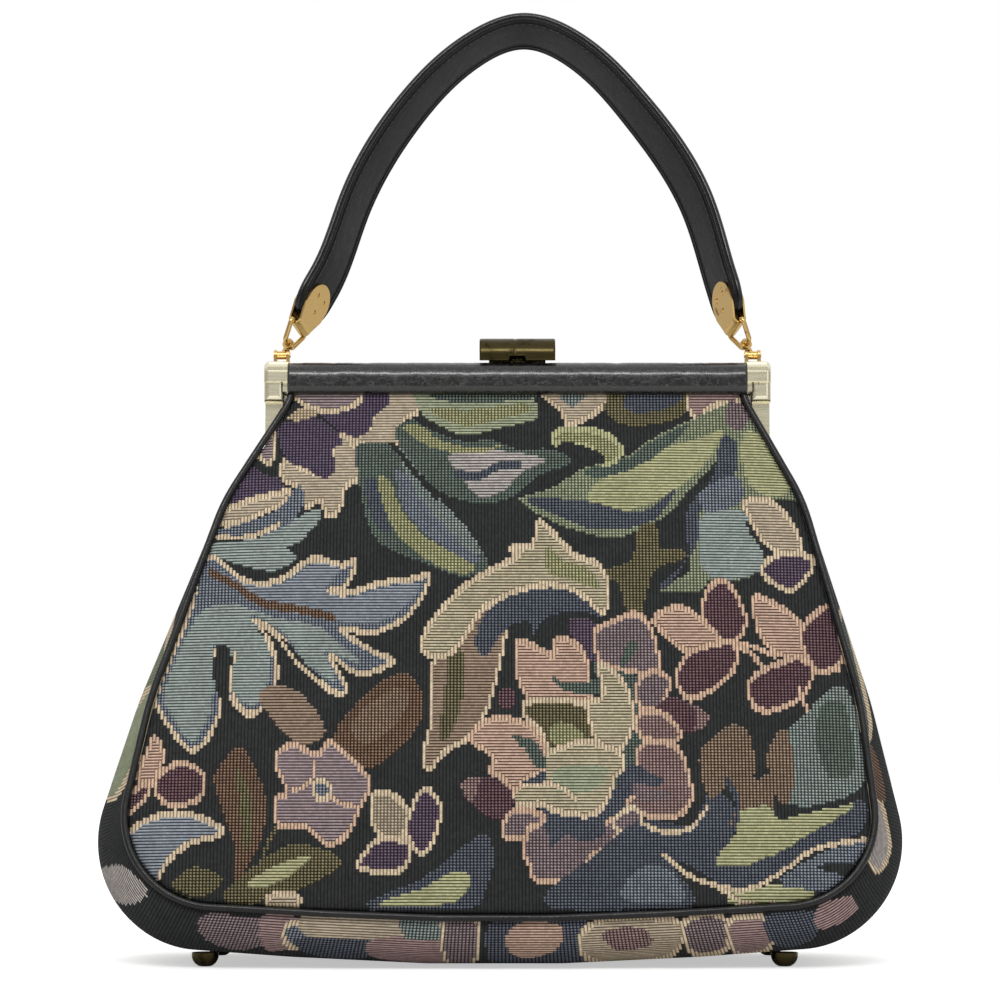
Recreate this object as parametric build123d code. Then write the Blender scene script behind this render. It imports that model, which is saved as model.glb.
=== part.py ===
from build123d import *
import math
import os

# A tapestry frame bag. Millimetres, +Z up, the front faces -Y.
# The origin lies on the floor under the middle of the whole bag. The frame sits a little
# to the right of it, because the soft body leans to the left as it hangs from the frame.

# Soft body
cloth = 1.6                 # thickness of the tapestry cloth with its backing
lining_cloth = 0.8
cloth_gap = 0.6             # play between one layer of cloth and the next
seam_gap = 0.1              # between the gusset's edge and a panel
base_half_depth = 52.0      # middle plane to the seam, at the bottom of the seam
top_half_depth = 5.4        # the same where the panel enters the frame
seam_low_z = 22.0
panel_top_z = 232.0
base_round = 20.0           # radius of the gusset's roll from the base up to the seam
gusset_top_z = 203.0        # the sides stop here, and the frame's arms go down inside
lining_top_z = 199.0
base_x = -2.1               # middle of the base
lean_top = 9.0              # frame centre to the right of the base centre
piping_radius = 1.4
piping_clearance = 0.1
side_growth = 1.15          # the sides lean, so a gap across them is a wider gap along X

frame_half_length = 101.5   # the frame sets the width of the cloth at its top

# Outline of a panel at its seam, as half widths and heights, from the lower corner up
seam_outline = [(147.2, 27.4), (136.0, 102.5), (frame_half_length + 11.3, 181.6),
                (frame_half_length - 11.9, 222.0), (frame_half_length - 13.5, panel_top_z)]
seam_bottom_z = 19.0        # where the two slopes of the bottom edge would meet
seam_radii = [34.0, 150.0, 80.0, 18.0]
# The same outline where the gusset bulges most, half way between the seams
belly_outline = [(172.2, 9.8), (146.0, 102.5), (frame_half_length + 16.1, 181.6),
                 (frame_half_length - 7.1, 222.0), (frame_half_length - 8.7, panel_top_z)]
belly_bottom_z = -1.7
belly_radii = [42.0, 150.0, 80.0, 18.0]
sag_radius = 1100.0         # rounds the middle of the bottom edge
# How far each height of the outline moves to the right as the body leans
lean_shares = [0.0, 0.44, 0.83, 1.0, 1.0]

# Base board and feet
board_thickness = 2.0
board_end_room = 54.2       # end of the board to the corner of the base
board_half_width = 29.0
board_gap = 0.5
foot_x = 112.0
foot_y = 30.0
foot_radius = 5.2
foot_flat_radius = 2.2
foot_gap = 0.15

# Frame
frame_top_z = 238.4
roll_height = 12.5
roll_depth = 12.2
half_gap = 0.3              # each half stays this far from the middle plane
roll_outer_round = 5.0
roll_inner_round = 1.5
cap_length = 9.5
cap_height = 16.2
cap_head_height = 8.6       # the rolled head of a cap, over its shoulder
cap_proud = 0.3             # the caps stand this far out of the leather
cap_edge_round = 2.2
cap_groove_drop = 3.2       # the caps' groove, below the frame's top
cap_groove_width = 1.6
cap_groove_depth = 0.6
shoulder_inset = 1.2        # the shoulder lies this far behind the head
shoulder_round = 2.4
shoulder_side_inset = 1.6
bar_wall = 1.4
bar_height = 8.3
slot_width = 3.9
slot_outer_y = 8.8          # outer wall of the cloth slot, from the middle plane
slot_depth = 6.5
arm_width = 6.9
arm_depth = 5.9
arm_channel = 3.0           # width of the groove inside an arm
hinge_drop = 51.2           # frame's top down to the hinge pins
ear_radius = 4.2
ear_thickness = 2.6
neck_height = 8.0
pin_radius = 1.5
pin_head_radius = 2.5
pin_head = 0.8
pin_running_gap = 0.05
pin_seat_gap = 0.02
ear_side_gap = 0.15

# Clasp
clasp_length = 30.5
clasp_sheet = 1.2
# The lever's arc at its lip, crown and back end, as y and height above the frame
clasp_arc = [(-8.6, 2.9), (-1.0, 9.4), (9.2, 5.4)]
clasp_lip_round = 1.5
clasp_pin_y = 8.6
clasp_pin_rise = 2.5
knuckle_radius = 1.8
clasp_pin_radius = 0.8
lever_knuckle = 12.0
base_knuckle = 5.0
knuckle_gap = 0.2
clasp_plate = 0.8
clasp_plate_front_y = 2.6
clasp_plate_back_y = 11.0
stud_y = -5.5
stud_height = 1.7
stud_radius = 1.8

# Handle
handle_lean = 15.0          # degrees that the handle leans back
lug_inset = 6.0             # middle of each lug to the frame's end
axis_y = 4.0
axis_rise = 4.4             # the lugs' pins above the frame's top
lug_ear = 1.2
lug_ear_radius = 2.2
lug_pin_radius = 1.0
lug_pin_proud = 0.3
eye_barrel_radius = 1.7
eye_barrel_length = 3.6
eye_side_gap = 0.15
eye_radius = 2.3
eye_plate = 1.6             # thickness of the eye and of its stem
eye_stem = 1.2              # width of the stem
eye_height = 5.5            # pin to the middle of the ring's lower bar
wire_radius = 1.0
wire_gap = 0.2
ring_height = 9.2
ring_low_half = 3.6
ring_high_half = 7.4
ring_corner = 1.6
ring_tilt = 27.0            # degrees that each ring tilts inwards
left_bend = 0.0             # degrees that the strap's end stands up more than its ring
right_bend = 14.0
end_twist = 20.0            # degrees that each end is turned towards the front
top_twist = 5.0
strap_width = 24.0
strap_outer = 2.0
strap_inner = 1.7
strap_gap = 0.1
strap_start = 2.6           # middle of the end plate's fold to the end of the strap
strap_straight = 17.0       # straight part of the strap that lies in the end plate
twist_ease = 40.0           # length over which the strap takes up its own twist
strap_tip_width = 9.0
strap_tip_length = 13.0
plate_sheet = 0.8
plate_length = 19.0
plate_half_width = 8.3
plate_fold_half = 5.4
plate_shoulders = (0.34, 0.57)   # where a leaf reaches its width and where its tip begins
plate_gap = 0.15
plate_pull = 0.9            # the fold is drawn up this far against the ring's upper bar
dent_radius = 0.9
dent_depth = 0.3
dent_places = [(-3.0, 13.2), (3.0, 13.2), (0.6, 7.0)]   # across the plate and up from its fold
# The arch in the handle's own leaning plane, as shares of lug_x sideways and heights
arch_points = [(-0.7026, 67.7), (-0.4576, 112.6), (-0.1843, 140.3), (0.0325, 148.8),
               (0.2503, 140.3), (0.5152, 112.6), (0.7812, 67.7)]
arch_stations = 23

depth_slope = (base_half_depth - top_half_depth) / (panel_top_z - seam_low_z)
frame_x = base_x + lean_top
lug_x = frame_half_length - lug_inset
board_half_length = belly_outline[0][0] - board_end_room
roll_low_z = frame_top_z - roll_height
cap_low_z = frame_top_z - cap_height
hinge_z = frame_top_z - hinge_drop
neck_top_z = hinge_z + neck_height
clasp_pin_z = frame_top_z + clasp_pin_rise
axis_z = frame_top_z + axis_rise
strap_half = (strap_outer + strap_inner + strap_gap) / 2


def seam_depth(z):
    """Distance of the seam's plane from the middle plane at height z."""
    return base_half_depth - depth_slope * (z - seam_low_z)


def base_rise(depth):
    """How far the bottom has curved up at this distance from the middle plane."""
    past = max(0.0, depth - (base_half_depth - base_round))
    return base_round - math.sqrt(max(0.0, base_round ** 2 - past ** 2))


def outline_wire(share, side_inset=0.0, low_inset=0.0, depth_inset=0.0, top_z=panel_top_z):
    """The body's outline on the plane at this share of the depth, from -1 (front) to 1."""
    rise = base_rise(abs(share) * base_half_depth) / base_round
    bulge = share ** 2
    points = []
    for (seam_w, seam_z), (belly_w, belly_z), lean in zip(seam_outline, belly_outline, lean_shares):
        width = belly_w + (seam_w - belly_w) * bulge - side_inset
        points.append((width, belly_z + (seam_z - belly_z) * rise, lean * lean_top))
    low_z = belly_bottom_z + (seam_bottom_z - belly_bottom_z) * rise + low_inset
    points[0] = (points[0][0], points[0][1] + low_inset, points[0][2])
    radii = [b + (s - b) * bulge for s, b in zip(seam_radii, belly_radii)]
    radii[0] -= (side_inset + low_inset) / 2
    slope = share * depth_slope
    stretch = math.hypot(1, slope)
    while points[-2][1] > top_z:
        points.pop()
    last, end = points[-2:]
    kept = (top_z - last[1]) / (end[1] - last[1])
    points[-1] = tuple(a + (b - a) * kept for a, b in zip(last, end))
    reach = share * (base_half_depth + depth_slope * seam_low_z)
    reach -= math.copysign(depth_inset, share) if share else 0.0
    plane = Plane(origin=(base_x, reach, 0), x_dir=(1, 0, 0), z_dir=(0, -1, -slope))
    right = [(lean + width, z * stretch) for width, z, lean in points]
    left = [(lean - width, z * stretch) for width, z, lean in points]
    corners = right[::-1] + [(0, low_z * stretch)] + left
    radii = radii[:len(points) - 1]
    fillets = radii[::-1] + [sag_radius] + radii
    path = FilletPolyline(*corners, radius=fillets)
    return plane, path


def closed_outline(*insets):
    """The same outline closed along its top, as one face in its place."""
    plane, path = outline_wire(*insets)
    return Face(plane.location * Wire(path.edges() + [Line(path @ 1, path @ 0).edge()]))


def depth_shares():
    """Where the outlines stand, from the front seam at -1 to the back seam at 1."""
    shares = [0.0, 0.42, 0.62, 0.74, 0.85, 0.94, 1.0]
    return [-share for share in shares[:0:-1]] + shares


def make_band(side_inset, low_inset, depth_inset, thickness, top_z):
    """Strip of cloth for both sides and the bottom, lofted from seam to seam."""
    sections = []
    for share in depth_shares():
        depth = depth_inset * abs(share)
        plane, outer = outline_wire(share, side_inset, low_inset, depth, top_z)
        inner = outline_wire(share, side_inset + thickness, low_inset + thickness, depth, top_z)[1]
        ends = [Line(outer @ 0, inner @ 0).edge(), Line(outer @ 1, inner @ 1).edge()]
        sections.append(plane.location * Wire(outer.edges() + inner.edges() + ends))
    return Solid.make_loft(sections, ruled=True)


def above(z):
    """A block that covers everything above height z."""
    return Pos(0, 0, z + 100) * Box(400, 200, 200)


def make_panel(side):
    """A panel of cloth, with side -1 for the front and 1 for the back."""
    normal = Vector(0, side, depth_slope).normalized()
    gap = normal * seam_gap
    face = Pos(gap.X, gap.Y, gap.Z) * closed_outline(float(side))
    return extrude(face, amount=cloth, dir=normal)


def make_piping(side):
    """The welt round the seam, a round cord just outside the panel's edge."""
    grow = piping_radius + piping_clearance
    plane, path = outline_wire(float(side), -grow * side_growth, -grow)
    lift = Vector(0, side, depth_slope).normalized() * grow
    path = Pos(lift.X, lift.Y, lift.Z) * (plane.location * Wire(path.edges()))
    section = Plane(origin=path @ 0, z_dir=path % 0) * Circle(piping_radius)
    cord = sweep(section, path=path)
    return cord - above(roll_low_z - half_gap)


def make_lining():
    """Sides and bottom in one strip, and a wall behind each panel."""
    side = cloth + cloth_gap
    low = cloth + board_gap + board_thickness + cloth_gap
    depth = cloth_gap + lining_cloth + seam_gap
    pieces = [make_band(side, low, depth, lining_cloth, lining_top_z)]
    for y_side in (-1, 1):
        wall = closed_outline(float(y_side), side, low, cloth_gap, lining_top_z)
        inward = Vector(0, -y_side, -depth_slope).normalized()
        pieces.append(extrude(wall, amount=lining_cloth, dir=inward))
    return Compound(pieces)


def base_z(x):
    """Underside of the gusset along the middle of the base."""
    slope = (belly_outline[0][1] - belly_bottom_z) / belly_outline[0][0]
    angle = math.atan(slope)
    if abs(x) < sag_radius * math.sin(angle):
        middle = belly_bottom_z + sag_radius / math.cos(angle)
        return middle - math.sqrt(sag_radius ** 2 - x ** 2)
    return belly_bottom_z + slope * abs(x)


def board_edge(lift):
    """Long edge of the base board, which follows the sag of the gusset at this height over it."""
    end_z = base_z(board_half_length) + lift
    corners = [(-board_half_length, end_z), (0, belly_bottom_z + lift), (board_half_length, end_z)]
    return FilletPolyline(*corners, radius=sag_radius)


def make_board():
    low = board_edge(cloth + board_gap)
    high = board_edge(cloth + board_gap + board_thickness)
    edge = [low, Line(low @ 1, high @ 1), high, Line(high @ 0, low @ 0)]
    face = Pos(base_x, 0, 0) * (Plane.XZ * make_face(edge))
    return extrude(face, amount=board_half_width, both=True)


def make_foot(x_side, y_side):
    """A domed foot that seats under the gusset, with a small flat to stand on."""
    top = base_z(foot_x - foot_radius) - foot_gap
    rim = 1.1
    edge = [
        Line((0, 0), (foot_flat_radius, 0)),
        ThreePointArc((foot_flat_radius, 0), (foot_radius * 0.86, top * 0.34), (foot_radius, top - rim)),
        Line((foot_radius, top - rim), (foot_radius, top)),
        Line((foot_radius, top), (0, top)),
        Line((0, top), (0, 0)),
    ]
    dome = revolve(Plane.XZ * make_face(edge), axis=Axis.Z)
    return Pos(base_x + x_side * foot_x, y_side * foot_y, 0) * dome


def half_box(side, y_near, y_far, z_low, z_high, x_low, x_high):
    """A block on one half of the frame, with y and x as distances from its middle."""
    block = Box(x_high - x_low, y_far - y_near, z_high - z_low)
    middle = ((x_low + x_high) / 2 + frame_x, side * (y_near + y_far) / 2, (z_low + z_high) / 2)
    return Pos(*middle) * block


def roll_profile(side, proud):
    """Section of the rolled top, flatter on the side that meets the other half."""
    near = half_gap
    far = half_gap + roll_depth + proud
    low = roll_low_z - proud
    high = frame_top_z + proud
    face = Pos((near + far) / 2, (low + high) / 2) * Rectangle(far - near, high - low)
    outer = face.vertices().filter_by(lambda v: v.X > near + 1)
    face = fillet(outer, roll_outer_round)
    inner = face.vertices().filter_by(lambda v: v.X < near + 1)
    face = fillet(inner, roll_inner_round)
    plane = Plane(origin=(frame_x, 0, 0), x_dir=(0, side, 0), z_dir=(side, 0, 0))
    return plane * face


def bar_walls():
    """Near and far faces of the channel bar, as distances from the middle plane."""
    return slot_outer_y - slot_width - bar_wall, slot_outer_y + bar_wall


def bar_low_z():
    return roll_low_z + cap_proud


def make_roll(side):
    half = frame_half_length - cap_length
    body = extrude(roll_profile(side, 0.0), amount=half, both=True)
    near, far = bar_walls()
    core = half_box(side, near, far, roll_low_z - 5, bar_low_z() + bar_height, -half - 1, half + 1)
    return body - core


def make_ear(side, x_side):
    """The flat hinge ear at the end of an arm. The front ears lie inside the back ones."""
    inner_x = frame_half_length - arm_width - half_gap
    if side > 0:
        inner_x = frame_half_length - half_gap - ear_thickness
    disc = Pos(0, hinge_z) * Circle(ear_radius)
    neck_near = half_gap
    neck_far = half_gap + arm_depth
    neck = Pos((neck_near + neck_far) / 2, (hinge_z + neck_top_z) / 2) * Rectangle(
        neck_far - neck_near, neck_top_z - hinge_z)
    hole_gap = pin_seat_gap if side > 0 else pin_running_gap
    face = disc + neck - Pos(0, hinge_z) * Circle(pin_radius + hole_gap)
    start = inner_x if x_side > 0 else -inner_x - ear_thickness
    plane = Plane(origin=(frame_x + start, 0, 0), x_dir=(0, side, 0), z_dir=(side, 0, 0))
    amount = ear_thickness * side
    return extrude(plane * face, amount=amount)


def make_bar(side):
    """Folded channel: a top bar with a slot for the cloth, and an arm at each end."""
    near, far = bar_walls()
    low = bar_low_z()
    arm_outer = frame_half_length - half_gap
    arm_inner = arm_outer - arm_width
    top = half_box(side, near, far, low, low + bar_height, -arm_outer + 1, arm_outer - 1)
    slot_half = frame_half_length - cap_length
    slot_near = slot_outer_y - slot_width
    top -= half_box(side, slot_near, slot_outer_y, low - 1, low + slot_depth, -slot_half, slot_half)
    bar = top
    for x_side in (-1, 1):
        inner, outer = sorted((x_side * arm_inner, x_side * arm_outer))
        arm = half_box(side, half_gap, half_gap + arm_depth, neck_top_z, low + bar_height, inner, outer)
        groove_low, groove_high = sorted((x_side * (arm_inner - 1), x_side * (arm_inner + arm_width - bar_wall)))
        middle = half_gap + arm_depth / 2
        groove = half_box(side, middle - arm_channel / 2, middle + arm_channel / 2,
                          neck_top_z + 3, cap_low_z - 2, groove_low, groove_high)
        bar += arm - groove
        bar += make_ear(side, x_side)
    return bar


def make_cap(side, x_side, bar):
    """Corner cap: a rolled head with a groove, over a rounded shoulder round the arm."""
    inner = frame_half_length - cap_length
    middle = x_side * (inner + cap_length / 2)
    split_z = frame_top_z - cap_head_height
    low, high = middle - cap_length / 2, middle + cap_length / 2
    head = Pos(middle, 0, 0) * extrude(roll_profile(side, cap_proud), amount=cap_length / 2, both=True)
    head -= half_box(side, -1, 2 * roll_depth, cap_low_z - 1, split_z, low - 1, high + 1)
    end = head.faces().sort_by(Axis.X)[-1 if x_side > 0 else 0]
    top_edge = end.edges().sort_by(Axis.Z)[-1]
    head = fillet(top_edge, cap_edge_round)
    groove_z = frame_top_z - cap_groove_drop
    groove_y = half_gap + roll_depth + cap_proud - cap_groove_depth
    head -= half_box(side, groove_y, groove_y + 5, groove_z - cap_groove_width / 2,
                     groove_z + cap_groove_width / 2, low - 1, high + 1)
    near_x, far_x = sorted((x_side * (inner + shoulder_side_inset), x_side * frame_half_length))
    shoulder_y = half_gap + roll_depth - shoulder_inset
    shoulder = half_box(side, half_gap, shoulder_y, cap_low_z, split_z, near_x, far_x)
    front_face = shoulder.faces().sort_by(Axis.Y)[0 if side < 0 else -1]
    lower_edges = front_face.edges().sort_by(Axis.Z)[:-1]
    shoulder = fillet(lower_edges, shoulder_round)
    return head + shoulder - bar


def make_hinge_pin():
    """Headed pin through both ears on the right."""
    inner = frame_half_length - arm_width - half_gap - ear_side_gap
    outer = frame_half_length - half_gap + ear_side_gap
    pin = x_cylinder(pin_radius, inner, outer, 0, hinge_z)
    pin += x_cylinder(pin_head_radius, inner - pin_head, inner, 0, hinge_z)
    pin += x_cylinder(pin_head_radius, outer, outer + pin_head, 0, hinge_z)
    return pin


def x_cylinder(radius, low, high, y, z):
    """A cylinder along X, with low and high counted from the frame's centre."""
    return Pos(frame_x + (low + high) / 2, y, z) * Cylinder(radius, high - low, rotation=(0, 90, 0))


def make_clasp_plate():
    """Plate on the back roll, with a knuckle on each side of the lever's."""
    half = lever_knuckle / 2 + knuckle_gap + base_knuckle
    length = clasp_plate_back_y - clasp_plate_front_y
    plate = Pos(frame_x, (clasp_plate_front_y + clasp_plate_back_y) / 2, frame_top_z + clasp_plate / 2)
    plate = plate * Box(2 * half, length, clasp_plate)
    for way in (-1, 1):
        low, high = sorted((way * (half - base_knuckle), way * half))
        plate += x_cylinder(knuckle_radius, low, high, clasp_pin_y, clasp_pin_z)
        web = clasp_pin_z - frame_top_z
        plate += Pos(frame_x + (low + high) / 2, clasp_pin_y, frame_top_z + web / 2) * Box(
            high - low, knuckle_radius * 1.4, web)
    hole = x_cylinder(clasp_pin_radius + pin_seat_gap, -half - 1, half + 1, clasp_pin_y, clasp_pin_z)
    slot_half = lever_knuckle / 2 + knuckle_gap
    room = x_cylinder(knuckle_radius + knuckle_gap, -slot_half, slot_half, clasp_pin_y, clasp_pin_z)
    return plate - hole - room


def make_clasp_pin():
    half = lever_knuckle / 2 + knuckle_gap + base_knuckle
    return x_cylinder(clasp_pin_radius, -half - 0.3, half + 0.3, clasp_pin_y, clasp_pin_z)


def make_clasp_lever():
    """Curved tab from the back knuckle over both halves to a lip in front."""
    line = ThreePointArc(*[(y, frame_top_z + rise) for y, rise in clasp_arc])
    high = []
    low = []
    for share in (0, 0.5, 1):
        along = line % share
        outward = Vector(-along.Y, along.X) * clasp_sheet / 2
        high.append(line @ share + outward)
        low.append(line @ share - outward)
    edge = [ThreePointArc(*high), Line(high[2], low[2]), ThreePointArc(*low), Line(low[0], high[0])]
    plane = Plane(origin=(frame_x, 0, 0), x_dir=(0, 1, 0), z_dir=(1, 0, 0))
    hood = extrude(plane * make_face(edge), amount=clasp_length / 2, both=True)
    lip = hood.faces().sort_by(Axis.Z)[0]
    corners = lip.edges().filter_by(lambda e: abs(e.center().X - frame_x) > clasp_length / 2 - 0.1)
    hood = fillet(corners, clasp_lip_round)
    half = lever_knuckle / 2
    back_z = frame_top_z + clasp_arc[-1][1]
    barrel = x_cylinder(knuckle_radius, -half, half, clasp_pin_y, clasp_pin_z)
    web = Pos(frame_x, clasp_pin_y, (clasp_pin_z + back_z) / 2) * Box(
        lever_knuckle, knuckle_radius, back_z - clasp_pin_z)
    bore = x_cylinder(clasp_pin_radius + pin_running_gap, -half - 1, half + 1, clasp_pin_y, clasp_pin_z)
    return hood + barrel + web - bore


def make_clasp_stud():
    """Low mushroom catch on the front roll, just under the lever's lip."""
    neck = Pos(0, 0, stud_height / 2) * Cylinder(stud_radius * 0.6, stud_height)
    head = Pos(0, 0, stud_height - 0.4) * Cylinder(stud_radius, 0.8)
    head = fillet(head.edges().sort_by(Axis.Z)[-1], 0.35)
    washer = Pos(0, 0, 0.2) * Cylinder(stud_radius * 1.4, 0.4)
    return Pos(frame_x, stud_y, frame_top_z) * (neck + head + washer)


def make_lug():
    """Two ears on the back corner cap that hold the swivel eye's pin."""
    low_z = frame_top_z + cap_proud
    inner = eye_barrel_length / 2 + eye_side_gap
    foot = Pos(0, 0, low_z + 0.35) * Box(2 * (inner + lug_ear), 2 * lug_ear_radius, 0.7)
    lug = foot
    for way in (-1, 1):
        ear = Pos(way * (inner + lug_ear / 2), 0, axis_z) * Cylinder(lug_ear_radius, lug_ear, rotation=(0, 90, 0))
        stem = Pos(way * (inner + lug_ear / 2), 0, (low_z + axis_z) / 2) * Box(
            lug_ear, 2 * lug_ear_radius, axis_z - low_z)
        lug += ear + stem
    lug -= Pos(0, 0, axis_z) * Cylinder(lug_pin_radius + pin_seat_gap, 20, rotation=(0, 90, 0))
    lug -= Pos(0, 0, axis_z) * Cylinder(eye_barrel_radius + eye_side_gap, 2 * inner, rotation=(0, 90, 0))
    return Pos(frame_x + lug_x, axis_y, 0) * lug


def make_lug_pin():
    half = eye_barrel_length / 2 + eye_side_gap + lug_ear + lug_pin_proud
    return Pos(frame_x + lug_x, axis_y, axis_z) * Cylinder(lug_pin_radius, 2 * half, rotation=(0, 90, 0))


lean = math.radians(handle_lean)
arch_up = Vector(0, math.sin(lean), math.cos(lean))
arch_back = Vector(0, math.cos(lean), -math.sin(lean))


def ring_axes(x_side):
    """Directions at one ring: along it, across it and out of its inner face."""
    tilt = math.radians(ring_tilt)
    turn = math.radians(end_twist)
    along = arch_up * math.cos(tilt) - Vector(1, 0, 0) * x_side * math.sin(tilt)
    inward = arch_up * -math.sin(tilt) - Vector(1, 0, 0) * x_side * math.cos(tilt)
    across = arch_back * math.cos(turn) + inward * math.sin(turn)
    face = inward * math.cos(turn) - arch_back * math.sin(turn)
    return along, across, face


def end_axes(x_side):
    """The same at one end of the strap, which turns a little on its ring's upper bar."""
    along, across, face = ring_axes(x_side)
    bend = math.radians(right_bend if x_side > 0 else left_bend)
    straighter = along * math.cos(bend) - face * math.sin(bend)
    return straighter, across, face * math.cos(bend) + along * math.sin(bend)


def ring_point(x_side, distance):
    """A point this far from the lug's pin, along the middle of the swivel eye and ring."""
    along = ring_axes(x_side)[0]
    return Vector(frame_x + x_side * lug_x, axis_y, axis_z) + along * distance


def end_point(x_side, distance):
    """A point this far from the end plate's fold, along the end of the strap."""
    along = end_axes(x_side)[0]
    return ring_point(x_side, eye_height + ring_height) + along * (plate_pull + distance)


def make_swivel_eye():
    """Barrel on the lug's pin with an eye for the ring's lower bar."""
    along, across, face = ring_axes(1)
    centre = ring_point(1, eye_height)
    root = ring_point(1, 0)
    barrel = Pos(root.X, root.Y, root.Z) * Cylinder(eye_barrel_radius, eye_barrel_length, rotation=(0, 90, 0))
    eye_plane = Plane(origin=centre, x_dir=along, z_dir=across)
    disc = extrude(eye_plane * Circle(eye_radius), amount=eye_plate / 2, both=True)
    neck = Plane(origin=(centre + root) / 2, x_dir=along, z_dir=across)
    stem = extrude(neck * Rectangle(eye_height, eye_stem), amount=eye_plate / 2, both=True)
    hole = extrude(eye_plane * Circle(wire_radius + wire_gap), amount=10, both=True)
    bore = Pos(root.X, root.Y, root.Z) * Cylinder(lug_pin_radius + pin_running_gap, 20, rotation=(0, 90, 0))
    return barrel + disc + stem - hole - bore


def make_ring():
    """Wire ring, wider at the strap than at the eye."""
    along, across, face = ring_axes(1)
    plane = Plane(origin=ring_point(1, eye_height), x_dir=across, z_dir=across.cross(along))
    corners = [(-ring_low_half, 0), (ring_low_half, 0), (ring_high_half, ring_height),
               (-ring_high_half, ring_height)]
    path = FilletPolyline(*corners, radius=ring_corner, close=True)
    path = plane.location * Wire(path.edges())
    section = Plane(origin=path @ 0, z_dir=path % 0) * Circle(wire_radius)
    return sweep(section, path=path)


def make_end_plate(x_side):
    """Sheet folded round the ring's upper bar, with a rounded leaf on each face of the strap."""
    along, across, face = end_axes(x_side)
    origin = end_point(x_side, 0)
    inner = strap_half + plate_gap
    outer = inner + plate_sheet
    sides = [Line((inner, plate_length), (inner, 0)), Line((-inner, 0), (-inner, plate_length)),
             Line((-inner, plate_length), (-outer, plate_length)), Line((-outer, plate_length), (-outer, 0)),
             Line((outer, 0), (outer, plate_length)), Line((outer, plate_length), (inner, plate_length))]
    folds = [ThreePointArc((inner, 0), (0, -inner), (-inner, 0)),
             ThreePointArc((-outer, 0), (0, -outer), (outer, 0))]
    fold_plane = Plane(origin=origin, x_dir=face, z_dir=face.cross(along))
    sheet = extrude(fold_plane * make_face(sides + folds), amount=plate_half_width + 1, both=True)
    wide_z, round_z = [share * plate_length for share in plate_shoulders]
    outline = [(-plate_half_width, round_z), (-plate_half_width, wide_z), (-plate_fold_half, 0),
               (-plate_fold_half, -outer - 1), (plate_fold_half, -outer - 1), (plate_fold_half, 0),
               (plate_half_width, wide_z), (plate_half_width, round_z)]
    tip = ThreePointArc(outline[-1], (0, plate_length - 0.1), outline[0])
    leaf_plane = Plane(origin=origin, x_dir=across, z_dir=across.cross(along))
    leaf = extrude(leaf_plane * make_face([Polyline(*outline), tip]), amount=outer + 1, both=True)
    plate = sheet & leaf
    for sideways, distance in dent_places:
        spot = origin + along * distance + across * sideways
        for way in (-1, 1):
            dent_plane = Plane(origin=spot + face * way * (outer - dent_depth), z_dir=face * way)
            plate -= extrude(dent_plane * Circle(dent_radius), amount=1)
    return plate


def strap_stations():
    """Point, direction and across at each section of the strap, from left to right."""
    shares = [i / 4 for i in range(4)]
    left, right = end_axes(-1), end_axes(1)
    root = Vector(frame_x, axis_y, axis_z)
    inner_points = [root + Vector(1, 0, 0) * u * lug_x + arch_up * v for u, v in arch_points]
    left_bend_point = end_point(-1, strap_start + strap_straight)
    right_bend_point = end_point(1, strap_start + strap_straight)
    curve = Spline(left_bend_point, *inner_points, right_bend_point, tangents=(left[0], right[0] * -1))
    stations = [(end_point(-1, strap_start + strap_straight * s), left[0], left[1]) for s in shares]
    top = max(v for u, v in arch_points)
    for i in range(arch_stations):
        share = i / (arch_stations - 1)
        point, along = curve @ share, (curve % share).normalized()
        climb = max(0.0, (point - root).dot(arch_up) / top)
        turn = math.radians(end_twist + (top_twist - end_twist) * climb ** 4)
        across = arch_back * math.cos(turn) + inside_of(point, along) * math.sin(turn)
        end_across = left[1] if share < 0.5 else right[1]
        eased = min(1.0, min(share, 1 - share) * curve.length / twist_ease)
        across = across * eased + end_across * (1 - eased)
        across = (across - along * across.dot(along)).normalized()
        stations.append((point, along, across))
    stations += [(end_point(1, strap_start + strap_straight * s), right[0] * -1, right[1])
                 for s in shares[::-1]]
    return stations


def inside_of(point, along):
    """Direction at this point of the arch that looks into it."""
    inward = along.cross(arch_back).normalized()
    middle = Vector(frame_x, axis_y, axis_z) + arch_up * arch_points[0][1]
    return inward * math.copysign(1, inward.dot(middle - point))


def strap_width_at(distance):
    """Full width, but narrowed to a round tongue under each end plate."""
    if distance >= strap_tip_length:
        return strap_width
    share = 1 - distance / strap_tip_length
    return strap_tip_width + (strap_width - strap_tip_width) * math.sqrt(1 - share ** 2)


def make_strap(low, high):
    """One layer of the strap between two distances from its centre line."""
    stations = strap_stations()
    wires = []
    for point, along, across in stations:
        face = along.cross(across).normalized()
        face = face * math.copysign(1, face.dot(inside_of(point, along)))
        from_tip = min((point - stations[0][0]).length, (point - stations[-1][0]).length)
        plane = Plane(origin=point + face * (low + high) / 2, x_dir=across, z_dir=along)
        wires.append((plane * Rectangle(strap_width_at(from_tip), high - low)).wire())
    return Solid.make_loft(wires, ruled=False)


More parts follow.
